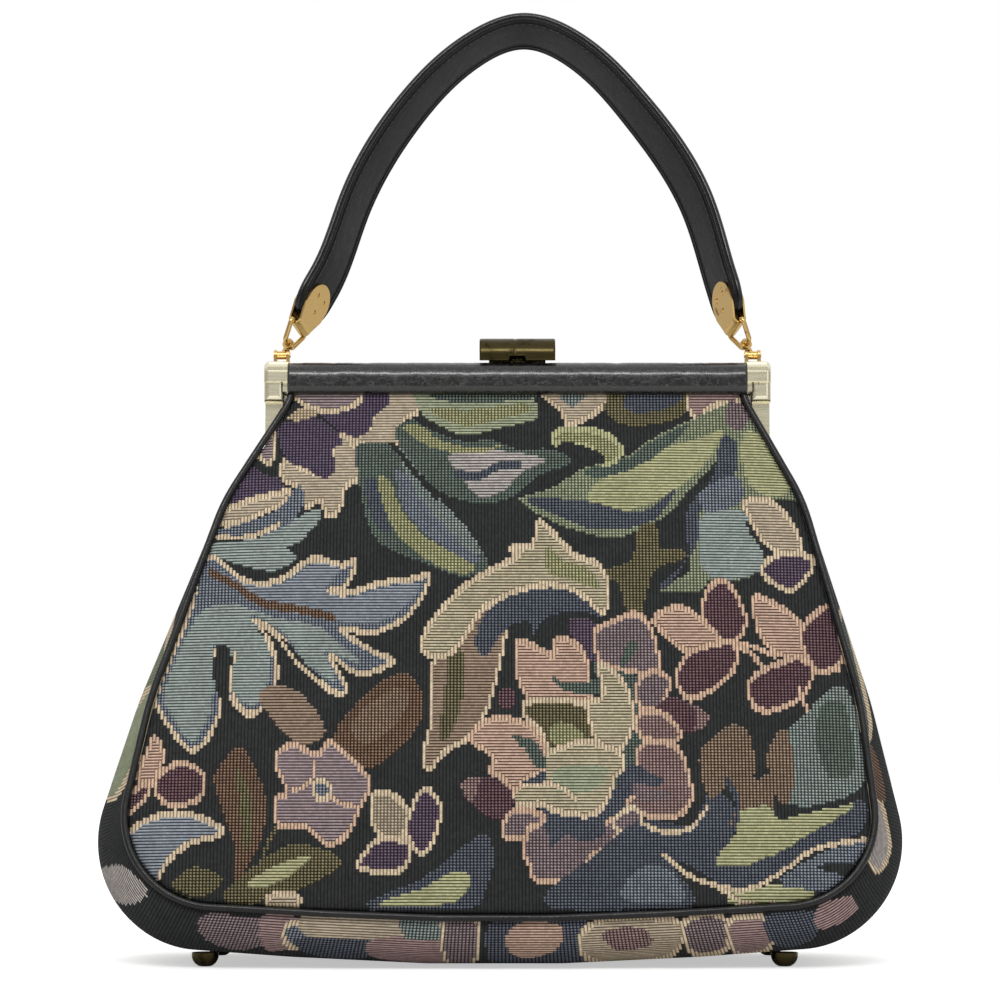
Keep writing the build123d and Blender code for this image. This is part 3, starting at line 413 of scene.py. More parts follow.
# a stroke has its width in place of an edge
panelPrint = [
    ("lines", "mauve", "cream", "292,385 366,385 360,400 345,409 325,411 303,404"),
    ("lines", "tan", "cream",
     "386,385 421,385 419,410 403,420 404,440 381,449 356,441 350,436 362,434 371,424 374,412"),
    ("lines", "tan", "cream",
     "340,434 357,450 359,478 346,485 341,505 332,516 325,512 321,500 305,506 299,487 283,480 "
     "283,463 292,460 302,468 320,474 332,470 334,452"),
    ("dots", "purple", None,
     "320,414 345,412 362,402 368,385 389,385 388,405 372,418 371,428 362,436 350,436 338,430 "
     "331,424"),
    ("dots", "purple", None,
     "279,425 300,420 318,418 333,428 343,443 332,450 336,468 325,479 305,468 290,463 280,447"),
    ("dots", "cream", None, "288,418 303,408 318,411 314,417 297,421"),
    ("lines", "mauve", "cream", "274,428 276,440 274,456 268,463 256,450 262,436"),
    ("dots", "purple", None, "250,466 262,474 281,480 281,492 262,494 248,500 236,505 228,500 236,485"),
    ("lines", "tan", "cream", "222,512 243,503 262,497 284,492 291,491 284,502 262,513 238,522 220,524"),
    ("dots", "blue", None, "214,532 250,521 280,508 298,485 304,505 286,526 258,536 216,538"),
    ("lines", "teal", None,
     "208,545 240,541 258,538 285,526 300,517 318,508 319,520 300,542 287,548 296,558 275,571 "
     "245,567 206,552"),
    ("stroke", "cream", 3.2, "216,536 238,538 258,534 280,524"),
    ("dots", "deepTeal", None,
     "358,445 400,446 414,470 440,505 462,525 489,564 462,577 420,562 385,547 369,527 359,482"),
    ("dots", "navy", None, "366,480 378,482 384,505 390,530 378,528 368,505"),
    ("dots", "lime", None,
     "377,478 390,482 402,510 425,536 452,552 476,566 462,574 430,562 402,540 386,512"),
    ("dots", "blue", None, "396,470 408,478 424,503 452,528 478,555 474,564 448,550 422,532 402,505"),
    ("dots", "teal", None,
     "399,448 412,462 428,486 452,512 470,532 482,554 470,552 446,528 420,498 404,470"),
    ("stroke", "ground", 4.0, "392,444 402,456 416,474 436,497"),
    ("lines", "sage", None, "420,385 480,385 522,385 536,403 536,419 500,428 465,435 434,423 417,406"),
    ("dots", "deepTeal", None, "426,385 532,385 531,399 480,402 438,400"),
    ("dots", "lime", None, "432,408 470,410 520,404 532,410 500,420 466,426 440,418"),
    ("dots", "deepTeal", None,
     "398,425 415,420 430,430 465,442 490,440 520,450 550,449 572,462 540,476 515,496 480,504 "
     "440,492 414,466 397,440"),
    ("lines", "lavender", None, "450,455 500,451 545,460 520,474 505,490 480,497 462,478"),
    ("dots", "lime", None, "402,428 418,425 440,440 470,448 500,446 482,453 450,452 424,444"),
    ("stroke", "navy", 5.0, "458,474 478,476 500,466 520,464"),
    ("lines", "tan", "cream", "540,385 618,385 596,412 568,425 562,411"),
    ("dots", "teal", None, "556,385 596,385 578,404 568,406"),
    ("dots", "olive", None, "620,385 692,385 690,410 665,423 622,425 605,409"),
    ("dots", "navy", None, "626,396 668,392 684,398 662,410 630,412"),
    ("lines", "rose", "cream", "691,385 741,385 738,401 712,406 697,419 688,405"),
    ("dots", "sage", None,
     "734,402 695,418 655,437 628,456 585,468 548,490 522,494 525,506 565,527 615,538 662,519 "
     "690,490 720,456 740,418"),
    ("lines", "lime", None, "590,500 599,480 645,455 700,438 724,431 702,468 662,498 620,512"),
    ("dots", "navy", None, "528,499 585,501 640,513 676,488 652,521 600,530 550,513"),
    ("dots", "deepTeal", None, "586,470 628,458 655,440 690,424 664,450 634,468 600,478"),
    ("dots", "lime", "lime", "552,440 562,430 600,432 622,450 605,465 590,447 560,444"),
    ("plain", "ground", None, "556,449 566,442 598,452 604,462 586,464 570,456"),
    ("plain", "ground", None, "520,494 545,474 568,469 553,484 532,495"),
    ("dots", "sage", None,
     "738,402 762,430 785,480 797,500 765,500 745,511 745,525 766,561 745,579 710,581 700,591 "
     "664,593 661,585 690,570 687,535 690,510 713,480 727,440"),
    ("dots", "mauve", None, "730,400 748,412 744,428 728,426"),
    ("lines", "lime", None, "744,432 766,440 790,482 778,498 752,488 742,462"),
    ("dots", "navy", None,
     "722,438 737,444 736,470 724,486 700,512 698,540 686,562 668,588 660,586 688,556 684,530 "
     "690,505 712,478"),
    ("lines", "teal", None, "702,516 744,512 748,530 766,562 745,578 712,578 700,560"),
    ("dots", "blue", None, "702,490 736,476 742,500 716,512 702,508"),
    ("dots", "olive", None,
     "638,530 655,523 661,549 681,549 683,560 655,571 641,613 627,613 619,586 601,572 631,560"),
    ("lines", "fawn", "cream", "745,502 768,500 790,520 801,549 781,553 762,539 748,514"),
    ("dots", "plum", "cream", "763,566 780,554 808,556 813,566 798,587 784,589 766,577"),
    ("dots", "burgundy", "pinkCream", "722,580 738,598 746,625 728,643 703,619 707,592"),
    ("lines", "peach", "pinkCream", "654,618 680,607 703,621 719,641 689,651 664,633"),
    ("dots", "burgundy", "pinkCream", "737,645 734,669 710,691 687,698 676,675 692,652 720,643"),
    ("lines", "peach", "pinkCream", "756,597 775,604 800,624 813,661 785,656 764,641 754,613"),
    ("dots", "burgundy", "pinkCream", "832,606 842,640 845,656 822,673 804,650 804,625"),
    ("dots", "burgundy", "pinkCream", "806,662 814,671 800,698 768,711 751,701 754,676 795,658"),
    ("stroke", "pinkCream", 3.4, "733,646 748,652 765,668"),
    ("stroke", "pinkCream", 3.4, "740,644 758,648 776,656"),
    ("stroke", "pinkCream", 3.4, "811,670 826,672 840,668"),
    ("stroke", "pinkCream", 3.4, "800,690 806,708 812,722"),
    # the big curled leaf
    ("lines", "cocoa", "cream",
     "470,615 500,604 506,625 500,660 488,706 470,736 445,751 430,769 424,755 432,715 432,665 "
     "455,640"),
    ("dots", "olive", None, "448,656 462,652 462,700 448,738 438,738 444,700"),
    ("lines", "beige", "cream",
     "538,521 555,535 575,555 599,565 609,590 601,616 575,593 540,585 512,598 485,606 465,636 "
     "445,656 421,649 430,624 452,598 470,582 500,565 519,555 510,548 533,545"),
    ("dots", "lime", None, "548,545 562,560 590,570 600,590 572,580 548,572"),
    ("dots", "navy", None,
     "475,640 490,608 530,590 570,591 604,618 575,611 545,619 533,637 528,622 505,630 486,656"),
    ("plain", "ground", None, "548,622 576,614 602,622 586,634 560,634 542,642"),
    ("stroke", "cream", 3.2, "486,606 512,592 545,584 576,590 602,614"),
    # the peony
    ("dots", "plum", None, "570,619 594,622 597,662 588,660 580,648 571,636"),
    ("dots", "deepTeal", None,
     "598,652 621,666 637,677 641,707 645,738 639,763 628,782 617,794 606,784 612,740 610,700 "
     "596,680"),
    ("dots", "navy", None,
     "541,806 575,800 612,790 628,776 640,790 634,808 616,820 602,832 564,832 541,818"),
    ("lines", "peach", "pinkCream",
     "516,648 522,641 543,651 555,655 556,639 568,640 583,652 590,682 588,698 560,704 534,702 "
     "524,690 517,672"),
    ("dots", "deepTeal", None, "552,677 568,683 602,681 603,694 574,693 558,686"),
    ("dots", "mauve", "pinkCream",
     "596,630 614,621 637,614 652,631 658,654 660,671 646,676 636,672 623,669 602,663 596,648"),
    ("dots", "deepTeal", None, "629,642 638,645 626,666 620,662"),
    ("dots", "mauve", "pinkCream", "642,676 656,671 669,680 667,694 660,707 644,709 637,699 637,686"),
    ("dots", "burgundy", None, "656,709 667,698 686,701 698,709 709,715 705,726 692,732 679,730 667,719"),
    ("dots", "rose", None, "690,704 709,715 705,726 694,730 698,716"),
    ("dots", "rose", "pinkCream", "640,712 652,711 668,717 681,734 673,741 655,741 640,735 638,722"),
    ("dots", "rose", "pinkCream",
     "638,751 650,741 673,745 684,759 690,782 694,791 688,807 675,816 650,816 631,810 629,801 "
     "637,791 631,782 637,768"),
    ("dots", "navy", None, "620,774 638,764 652,774 664,779 655,787 640,784 630,797 618,797"),
    ("dots", "mauve", None, "636,782 650,790 672,792 664,800 642,800 632,794"),
    ("lines", "beige", "cream",
     "597,665 610,669 625,686 632,707 631,730 621,748 600,748 590,735 589,715 588,703 602,697 "
     "603,684"),
    ("dots", "olive", "cream",
     "525,703 549,701 583,703 589,715 592,732 598,744 575,747 564,752 549,750 543,734 531,722 "
     "524,715"),
    ("dots", "lime", None, "548,730 562,722 578,728 584,738 566,744 552,742"),
    ("lines", "beige", "cream",
     "545,753 564,747 583,741 602,745 621,753 623,768 614,778 608,799 593,814 571,814 549,808 "
     "543,803 514,803 516,789 526,784 545,782 543,772 541,761"),
    ("lines", "sage", None, "556,770 580,764 606,768 600,786 578,794 556,790"),
    ("stroke", "cream", 3.0, "516,790 530,783 552,784 566,790 575,798"),
    ("lines", "peach", "pinkCream",
     "471,741 474,730 485,722 497,718 522,722 533,730 543,745 545,759 541,772 526,778 514,791 "
     "503,778 489,770 495,761 487,751"),
    ("dots", "deepTeal", None, "512,736 532,740 543,753 544,768 533,764 528,753 518,744"),
    ("dots", "navy", None, "522,782 534,776 544,770 546,778 536,784"),
    ("dots", "burgundy", None, "461,785 468,778 487,777 506,785 514,801 512,808 503,820 487,816 468,801"),
    ("dots", "rose", None, "461,785 468,778 480,778 478,786 474,800 466,798"),
    ("dots", "mauve", "pinkCream",
     "504,829 506,818 520,809 539,814 545,820 537,828 526,837 514,839 505,837"),
    ("dots", "mauve", "pinkCream",
     "532,826 554,824 575,828 594,830 614,820 615,841 606,850 593,854 583,868 571,879 552,882 "
     "535,879 529,864 524,852 526,838"),
    ("dots", "navy", None, "542,822 570,819 600,820 606,832 586,842 566,836 550,848 548,834"),
    ("dots", "mauve", "cream", "614,822 629,808 640,812 642,826 633,837 621,833"),
    ("dots", "purple", None, "614,838 637,837 638,864 621,862 612,852"),
    ("dots", "burgundy", None, "500,692 508,688 516,696 514,706 504,710 498,702"),
    # leaves at the lower right
    ("dots", "navy", None,
     "640,820 690,825 712,790 738,815 720,850 740,866 790,845 860,800 863,830 820,848 780,873 "
     "735,889 672,860 692,910 560,910 547,892 570,873 602,850"),
    ("dots", "blue", None, "640,868 672,872 684,900 650,904 620,896"),
    ("dots", "cocoa", None,
     "699,757 706,744 730,725 749,733 755,762 755,780 768,774 774,800 768,818 745,834 730,826 "
     "738,806 728,786 712,800 702,780"),
    ("lines", "lime", None,
     "740,812 768,806 778,818 800,822 845,806 858,800 838,818 800,838 772,852 752,864 718,866 "
     "726,846 736,832"),
    ("stroke", "navy", 5.0, "728,782 737,800 738,816 730,836 722,850"),
    ("dots", "teal", None, "774,745 805,715 830,689 852,699 866,780 815,806 779,796"),
    ("dots", "cocoa", None, "768,750 785,728 793,760 791,800 780,804 770,780"),
    ("dots", "deepTeal", None, "822,705 846,708 854,770 828,776 816,740"),
    ("lines", "lime", None, "718,856 755,829 845,806 812,832 770,857 730,865"),
    ("dots", "blue", None, "780,881 825,852 870,841 852,866 836,874 852,881 815,893"),
    ("plain", "ground", None, "818,868 836,862 854,866 836,873"),
    ("lines", "lime", None, "735,890 780,886 812,892 806,905 735,905"),
    ("stroke", "cream", 3.2, "664,856 684,872 705,882 745,890 780,873 815,849 868,839"),
    ("stroke", "cream", 3.2, "718,887 748,904 776,904"),
    ("stroke", "cream", 3.0, "640,822 664,832 690,828 708,806"),
    # blue leaf at the left
    ("dots", "blue", "cream",
     "206,556 245,581 280,580 312,559 342,565 356,561 346,585 329,591 348,593 380,583 408,580 "
     "430,577 410,613 375,632 340,629 374,652 393,661 360,674 330,656 345,686 336,694 304,669 "
     "282,638 254,620 274,655 274,688 256,714 240,709 226,690 214,650 222,695 212,731 190,750 "
     "162,714 158,690 190,610"),
    ("lines", "teal", None,
     "196,618 230,604 276,618 320,628 360,664 326,652 336,682 304,662 284,634 252,616 270,652 "
     "268,684 252,706 232,688 214,645 214,690 206,724 190,742 170,712 164,692"),
    ("lines", "blue", None,
     "214,568 246,584 282,584 314,564 340,570 326,590 350,597 384,588 420,583 404,608 374,624 "
     "330,620 262,604"),
    ("plain", "ground", None, "216,650 226,646 232,660 232,684 226,702 214,684"),
    ("plain", "ground", None, "256,630 266,630 284,640 304,662 322,684 292,692 278,674 272,646"),
    ("stroke", "brown", 5.0, "210,572 236,586 262,603 300,610 332,617"),
    ("stroke", "cream", 3.2, "254,620 276,636 292,656 306,672 336,692"),
    ("stroke", "cream", 3.2, "256,622 274,650 276,684 258,712"),
    ("stroke", "cream", 3.2, "234,652 232,690 242,708 256,714"),
    ("lines", "cocoa", None, "268,686 295,690 318,714 324,737 295,742 260,702"),
    ("dots", "brown", None, "333,736 370,690 405,673 422,695 416,731 375,767 349,762"),
    ("dots", "cocoa", None, "352,722 384,694 404,688 408,706 384,736 362,744"),
    ("lines", "peach", "pinkCream", "146,755 154,737 163,755 153,781 138,779"),
    ("dots", "burgundy", "pinkCream", "154,783 178,763 203,775 199,799 167,804"),
    ("dots", "burgundy", "pinkCream", "120,802 150,782 142,803 122,814"),
    ("lines", "blue", "cream", "118,846 145,821 185,813 224,832 190,843 168,861 152,884 126,862"),
    ("dots", "olive", None, "172,886 195,867 222,880 200,898"),
    ("dots", "brown", None, "221,765 243,748 266,800 259,846 235,883 234,845 214,785"),
    ("dots", "olive", None, "236,770 250,790 254,830 244,852 240,810"),
    ("dots", "olive", None, "222,896 265,859 300,844 342,862 295,892 245,904"),
    ("lines", "lime", None, "246,884 280,864 310,856 290,876 262,888"),
    ("stroke", "olive", 4.0, "262,862 268,842 280,822"),
    ("lines", "mauve", "pinkCream",
     "275,760 293,744 316,755 330,742 349,757 370,783 359,809 349,832 328,844 304,826 279,826 "
     "276,800 287,791"),
    ("stroke", "pinkCream", 3.0, "292,790 306,786 314,772 316,757"),
    ("stroke", "pinkCream", 3.0, "330,796 342,804 356,806"),
    ("dots", "blue", "cream", "313,786 321,780 330,787 328,797 318,799"),
    ("lines", "fawn", "cream", "266,898 284,893 300,898 296,905 270,906"),
    ("dots", "tan", "cream", "374,794 395,796 410,818 396,840 374,826"),
    ("dots", "plum", "cream", "428,789 441,810 431,844 419,852 406,828 417,798"),
    ("dots", "plum", "cream", "359,862 380,839 410,845 401,870 367,870"),
    ("dots", "navy", None, "363,908 420,880 445,862 484,834 494,862 482,900 470,908"),
    ("lines", "lime", None, "378,904 424,888 452,872 470,876 462,898 430,906"),
]

gussetPrint = [
    ("dots", "sage", "cream", "134,690 146,640 158,604 176,560 182,575 168,640 156,700 140,760"),
    ("lines", "sage", "cream", "104,786 118,742 140,700 152,690 148,730 128,776 112,800"),
    ("lines", "lavender", None, "100,872 122,866 148,892 128,905 108,895"),
    ("dots", "teal", None, "180,545 196,520 204,500 206,520 196,560 186,575"),
    ("dots", "mauve", None, "205,914 240,916 268,922 262,945 232,950 200,935"),
    ("lines", "rose", None, "262,916 300,918 296,944 266,950"),
    ("dots", "blue", "cream", "285,926 310,924 312,944 288,946"),
    ("lines", "tan", None, "302,916 350,917 405,920 404,938 350,940 306,936"),
    ("dots", "navy", None, "298,938 370,940 372,956 330,958 300,950"),
    ("lines", "rose", None, "372,940 410,936 450,938 450,964 410,962 370,956"),
    ("dots", "teal", None, "404,917 446,918 444,938 406,938"),
    ("dots", "mauve", "cream", "444,917 476,918 474,964 446,962"),
    ("dots", "navy", None, "494,916 582,916 580,970 496,970"),
    ("lines", "peach", None, "504,940 524,922 562,926 556,950 520,958"),
    ("lines", "fawn", "cream", "580,936 602,920 640,917 682,924 672,955 620,964 586,958"),
    ("dots", "rose", None, "604,932 640,928 652,944 616,950"),
    ("dots", "mauve", "cream", "686,920 722,916 730,946 700,956 686,944"),
    ("lines", "rose", "cream", "728,922 764,918 770,948 736,954"),
    ("dots", "navy", None, "766,916 818,912 812,940 776,946"),
    ("lines", "rose", None, "816,908 850,896 856,912 822,930"),
    ("lines", "lavender", "cream", "866,790 880,800 890,846 878,872 866,850"),
    ("dots", "deepTeal", "cream", "842,610 854,650 870,720 866,740 850,690 840,640"),
    ("dots", "brown", None, "866,740 878,760 886,800 872,790"),
]


def smoothed(text, closed):  # a curve through the listed points
    points = np.array([[float(v) for v in pair.split(",")] for pair in text.split()])
    ends = [points[-1:], points, points[:2]] if closed else [points[:1], points, points[-1:]]
    p = np.concatenate(ends)
    t = np.linspace(0, 1, 5)[:-1, None]
    bits = []
    for a, b, c, d in zip(p, p[1:], p[2:], p[3:]):
        bits.append(b + 0.5 * t * ((c - a) + t * (2 * a - 5 * b + 4 * c - d + t * (3 * (b - c) + d - a))))
    return np.concatenate(bits + ([] if closed else [points[-1:]]))


def insideOf(x, y, loop):
    after = np.roll(loop, -1, 0)
    crossed = np.zeros(len(x), bool)
    for (ax, ay), (bx, by) in zip(loop, after):
        if ay != by:
            crossed ^= ((ay > y) != (by > y)) & (x < (bx - ax) * (y - ay) / (by - ay) + ax)
    return crossed


def nearness(x, y, line, closed, tall):  # distance to the line, counted short along a column of threads
    after = np.roll(line, -1, 0) if closed else line[1:]
    best = np.full(len(x), 1e9)
    for (ax, ay), (bx, by) in zip(line, after):
        dx, dy = bx - ax, (by - ay) * tall
        share = np.clip(((x - ax) * dx + (y - ay) * tall * dy) / max(dx * dx + dy * dy, 1e-9), 0, 1)
        best = np.minimum(best, np.hypot(x - ax - share * dx, (y - ay) * tall - share * dy))
    return best


def paintCloth(x, y, motifs, seed):  # thread colours of each cell, from the shapes that cover it
    luck = np.random.default_rng(seed)
    light, dark = np.zeros((len(x), 4)), np.zeros((len(x), 4))

    def lay(chosen, how, thread):
        pale, deep = (srgb(*c) for c in threads[thread])
        a, b = layOf[how]
        light[chosen] = (*(v * clothTone["pale"] for v in pale), a)
        dark[chosen] = (*(v * clothTone["deep"] for v in deep), b)

    lay(np.ones(len(x), bool), "plain", "ground")
    for how, thread, edge, text in motifs:
        closed = how != "stroke"
        line = smoothed(text, closed)
        low, high = line.min(0) - motifEdge["margin"], line.max(0) + motifEdge["margin"]
        near = np.nonzero((x > low[0]) & (x < high[0]) & (y > low[1]) & (y < high[1]))[0]
        if len(near) == 0:
            continue
        if closed:
            lay(near[insideOf(x[near], y[near], line)], how, thread)
        if edge:
            gaps = nearness(x[near], y[near], line, closed, motifEdge["tall"])
            if closed:
                lay(near[gaps < motifEdge["width"]], "edge", edge)
            else:
                lay(near[gaps < edge / 2], strokeOf.get(thread, "dots"), thread)
    light[:, :3] *= luck.uniform(*clothTone["paleLuck"], (len(x), 1))
    dark[:, :3] *= luck.uniform(*clothTone["deepLuck"], (len(x), 1))
    return light, dark


def colourCells(obj, light, dark):
    counts = np.array([len(p.vertices) for p in obj.data.polygons])
    for name, values in (("threadLight", light), ("threadDark", dark)):
        layer = obj.data.color_attributes.new(name, "FLOAT_COLOR", "CORNER")
        layer.data.foreach_set("color", np.repeat(values, counts, axis=0).astype(np.float32).ravel())


def cellCentres(obj):
    centres = np.zeros(len(obj.data.polygons) * 3)
    obj.data.polygons.foreach_get("center", centres)
    return centres.reshape(-1, 3) / mm


def blendCloth(obj):  # its placement is baked into the mesh
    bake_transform(obj)


def giveThickness(obj, thickness):  # the cloth's inside is faced with the lining
    obj.data.materials.append(liningCotton)
    solid = obj.modifiers.new("clothThickness", "SOLIDIFY")
    solid.thickness, solid.offset, solid.material_offset = thickness * mm, -1.0, 1


# front and back panels

panel = {"lift": 1.7, "belly": 3.6, "ease": 26.0, "tuck": 0.9, "edgeRoll": 2.4, "pucker": 0.28,
         "puckerLength": 13.0, "puckerReach": 7.0, "sag": 0.5, "thickness": 1.3, "topFade": (196.0, 222.0),
         "outlinePoints": 900, "rimPoints": 700}


def nearestOn(points, line, batch=500):  # for each point the nearest of the line's points, and how far it is
    found, gaps = [], []
    for start in range(0, len(points), batch):
        squares = ((points[start:start + batch, None] - line[None]) ** 2).sum(2)
        found.append(squares.argmin(1))
        gaps.append(np.sqrt(squares.min(1)))
    return np.concatenate(found), np.concatenate(gaps)


def makePanel(side):
    name = "frontPanelCloth" if side < 0 else "backPanelCloth"
    outline, around = evenly(outlineAt(float(side)), panel["outlinePoints"])
    low, high = outline.min(0), outline.max(0)
    columns = int((high[0] - low[0]) / weave["pitchX"]) + 4
    rows = int((high[1] - low[1]) / weave["pitchZ"]) + 4
    bm = bmesh.new()
    bmesh.ops.create_grid(bm, x_segments=columns, y_segments=rows, size=0.5)
    bmesh.ops.scale(bm, vec=(columns * weave["pitchX"], rows * weave["pitchZ"], 1), verts=bm.verts)
    bmesh.ops.translate(bm, vec=((low[0] + high[0]) / 2, (low[1] + high[1]) / 2, 0), verts=bm.verts)
    centres = np.array([f.calc_center_median()[:2] for f in bm.faces])
    keep = insideOf(centres[:, 0], centres[:, 1], outline)
    bm.faces.ensure_lookup_table()
    bmesh.ops.delete(bm, geom=[bm.faces[i] for i in np.nonzero(~keep)[0]], context="FACES")
    edge = [v for v in bm.verts if v.is_boundary]  # the stepped edge is drawn out to the outline
    nearest, _ = nearestOn(np.array([v.co[:2] for v in edge]), outline)
    for v, i in zip(edge, nearest):
        v.co.x, v.co.y = outline[i]
    layer = bm.loops.layers.uv.new("surface")
    for face in bm.faces:
        for loop in face.loops:
            loop[layer].uv = (loop.vert.co.x / weave["pitchX"], loop.vert.co.y / weave["pitchZ"])
    flat = np.array([v.co[:2] for v in bm.verts])
    rim, _ = evenly(outlineAt(float(side)), panel["rimPoints"])
    nearest, distance = nearestOn(flat, rim)
    along = nearest * around / panel["rimPoints"]
    height = flat[:, 1] / math.hypot(1, bag["depthSlope"])
    fade = np.clip((panel["topFade"][1] - height) / (panel["topFade"][1] - panel["topFade"][0]), 0, 1)
    fade = fade * fade * (3 - 2 * fade)
    belly = panel["belly"] * (1 - np.exp(-distance / panel["ease"])) * fade
    tuck = -panel["tuck"] * np.clip(1 - distance / panel["edgeRoll"], 0, 1) ** 2
    drift = 1.7 * np.sin(along / 31.0)  # so the puckers aren't all as long
    pucker = panel["pucker"] * np.sin(along * 2 * math.pi / panel["puckerLength"] + drift)
    pucker *= np.exp(-distance / panel["puckerReach"]) * np.clip(distance / 2.0, 0, 1) * fade
    sag = panel["sag"] * np.sin(flat[:, 0] / 34.0 + 0.6) * np.sin(height / 27.0 + flat[:, 0] / 90.0)
    sag = sag * fade * np.clip(distance / 30, 0, 1)
    places = inPlace(flat, float(side), panel["lift"] + belly + tuck + pucker + sag)
    for v, place in zip(bm.verts, places):
        v.co = Vector(place) * mm
    bm.normal_update()
    if sum(f.normal.y for f in bm.faces) * side < 0:
        bmesh.ops.reverse_faces(bm, faces=bm.faces)
    obj = finished(name, bm, tapestryWeave)
    cells = cellCentres(obj)
    if side > 0:  # the same cloth, as it reads from behind
        cells[:, 0] = 2 * bag["baseX"] + bag["lean"] - cells[:, 0]
        cells[:, 1] *= -1
    x, y = pixelOf(cells)
    colourCells(obj, *paintCloth(x, y, panelPrint, 7 if side < 0 else 8))
    giveThickness(obj, panel["thickness"])
    blendCloth(obj)
    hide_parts("front_panel" if side < 0 else "back_panel")
    print(name, "cells", len(obj.data.polygons))


# gusset, as a front half and a back half

gussetCloth = {"along": 478, "across": 54, "crease": 0.125, "thickness": 1.3}
otherPrint = {  # where the sides and the bottom take their cloth from, in the photo's pixels
    "sideFrom": 30.0, "leftX": 400, "rightX": 640, "sideY": 900, "sideScale": (2.58, 2.4),
    "bottomX": 500, "bottomY": 760, "bottomScale": (2.0, 2.3),
}


def gussetShares(count):  # shares of the depth at equal steps over the base and up its roll
    fine = np.linspace(0, 1, 400)
    past = np.maximum(0, fine * bag["depthLow"] - (bag["depthLow"] - bag["baseRound"])) / bag["baseRound"]
    rise = bag["baseRound"] * (1 - np.sqrt(np.maximum(0, 1 - past ** 2)))
    along = np.concatenate([[0], np.cumsum(np.hypot(np.diff(fine * bag["depthLow"]), np.diff(rise)))])
    return np.interp(np.linspace(0, along[-1], count + 1), along, fine), along[-1]


def otherPart(cells):  # the place in the panels' print that gives each cell of the sides and the bottom
    onSide = cells[:, 2] > otherPrint["sideFrom"]
    start = np.where(cells[:, 0] < bag["baseX"], otherPrint["leftX"], otherPrint["rightX"])
    (sideX, sideY), (bottomX, bottomY) = otherPrint["sideScale"], otherPrint["bottomScale"]
    x = np.where(onSide, start + cells[:, 1] * sideX, otherPrint["bottomX"] + cells[:, 0] * bottomX)
    y = np.where(onSide, otherPrint["sideY"] - (cells[:, 2] - otherPrint["sideFrom"]) * sideY,
                 otherPrint["bottomY"] + cells[:, 1] * bottomY)
    return x, y


def makeGusset(side):
    name = "frontGussetCloth" if side < 0 else "backGussetCloth"
    shares, girth = gussetShares(gussetCloth["across"])
    places, uvs = [], []
    for row, share in enumerate(shares):
        grow = -math.sin(math.pi * share) * gussetCloth["crease"]
        share = max(share, 1e-6) * side
        line, length = evenly(outlineAt(share, grow=grow, topZ=bag["gussetTopZ"]), gussetCloth["along"])
        places.append(inPlace(line, share))
        uvs.append(np.stack([np.arange(len(line)), np.full(len(line), row)], 1))  # a face for each thread
    bm = gridPiece(np.array(places), np.array(uvs))
    bm.normal_update()
    middle = min(bm.faces, key=lambda f: f.calc_center_median().z)
    if middle.normal.z > 0:
        bmesh.ops.reverse_faces(bm, faces=bm.faces)
    obj = finished(name, bm, tapestryWeave)
    cells = cellCentres(obj)
    normals = np.zeros(len(cells) * 3)
    obj.data.polygons.foreach_get("normal", normals)
    normals = normals.reshape(-1, 3)
    x, y = pixelOf(cells)
    light, dark = paintCloth(x, y, gussetPrint, 11)
    # what the photo doesn't show is the same cloth, cut along other parts of the print
    otherLight, otherDark = paintCloth(*otherPart(cells), panelPrint, 12 + side)
    toEye = np.array(photoView["place"]) - cells
    toEye /= np.linalg.norm(toEye, axis=1)[:, None]
    hidden = ((normals * toEye).sum(1) < 0.02) | (side > 0)
    light[hidden], dark[hidden] = otherLight[hidden], otherDark[hidden]
    colourCells(obj, light, dark)
    giveThickness(obj, gussetCloth["thickness"])
    blendCloth(obj)
    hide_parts("gusset")
    print(name, "cells", len(obj.data.polygons))


# piping in the seams

piping = {"radius": 1.4, "clearance": 0.1, "sideGrowth": 1.15, "sides": 14, "stations": 560, "lumps": 0.05}


def makePiping(side):
    name = "frontPipingCord" if side < 0 else "backPipingCord"
    grow = piping["radius"] + piping["clearance"]
    line, length = evenly(outlineAt(float(side), grow * piping["sideGrowth"], grow), piping["stations"])
    line = inPlace(line, float(side), grow)
    ahead = np.gradient(line, axis=0)
    ahead /= np.linalg.norm(ahead, axis=1)[:, None]
    outward = np.array([0, side, bag["depthSlope"]]) / math.hypot(1, bag["depthSlope"])
    sideways = np.cross(ahead, outward)
    luck = random.Random(5)
    lumps = [math.sin(i / 3.1) * 0.3 + luck.uniform(-0.5, 0.5) * 0.5 for i in range(len(line))]
    size = 1 + piping["lumps"] * np.array(lumps)
    turns = np.linspace(0, 2 * math.pi, piping["sides"] + 1)
    turns[-1] = 0
    places = (line[:, None] + piping["radius"] * size[:, None, None]
              * (np.cos(turns)[None, :, None] * sideways[:, None] + np.sin(turns)[None, :, None] * outward))
    v = np.linspace(0, length, len(line))
    u = np.linspace(0, 2 * math.pi * piping["radius"], piping["sides"] + 1)
    uvs = np.stack(np.broadcast_arrays(u[None, :], v[:, None]), 2)
    obj = finished(name, gridPiece(places, uvs, closed=True), pipingLeather)
    blendCloth(obj)
    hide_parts("front_piping" if side < 0 else "back_piping")


for side in (-1, 1):
    makePanel(side)
    makeGusset(side)
    makePiping(side)
print("cloth body made")

# lining, from the frame's own inner bag

lining = {"cuts": 3, "longEdge": 12.0, "turnings": 1.25}


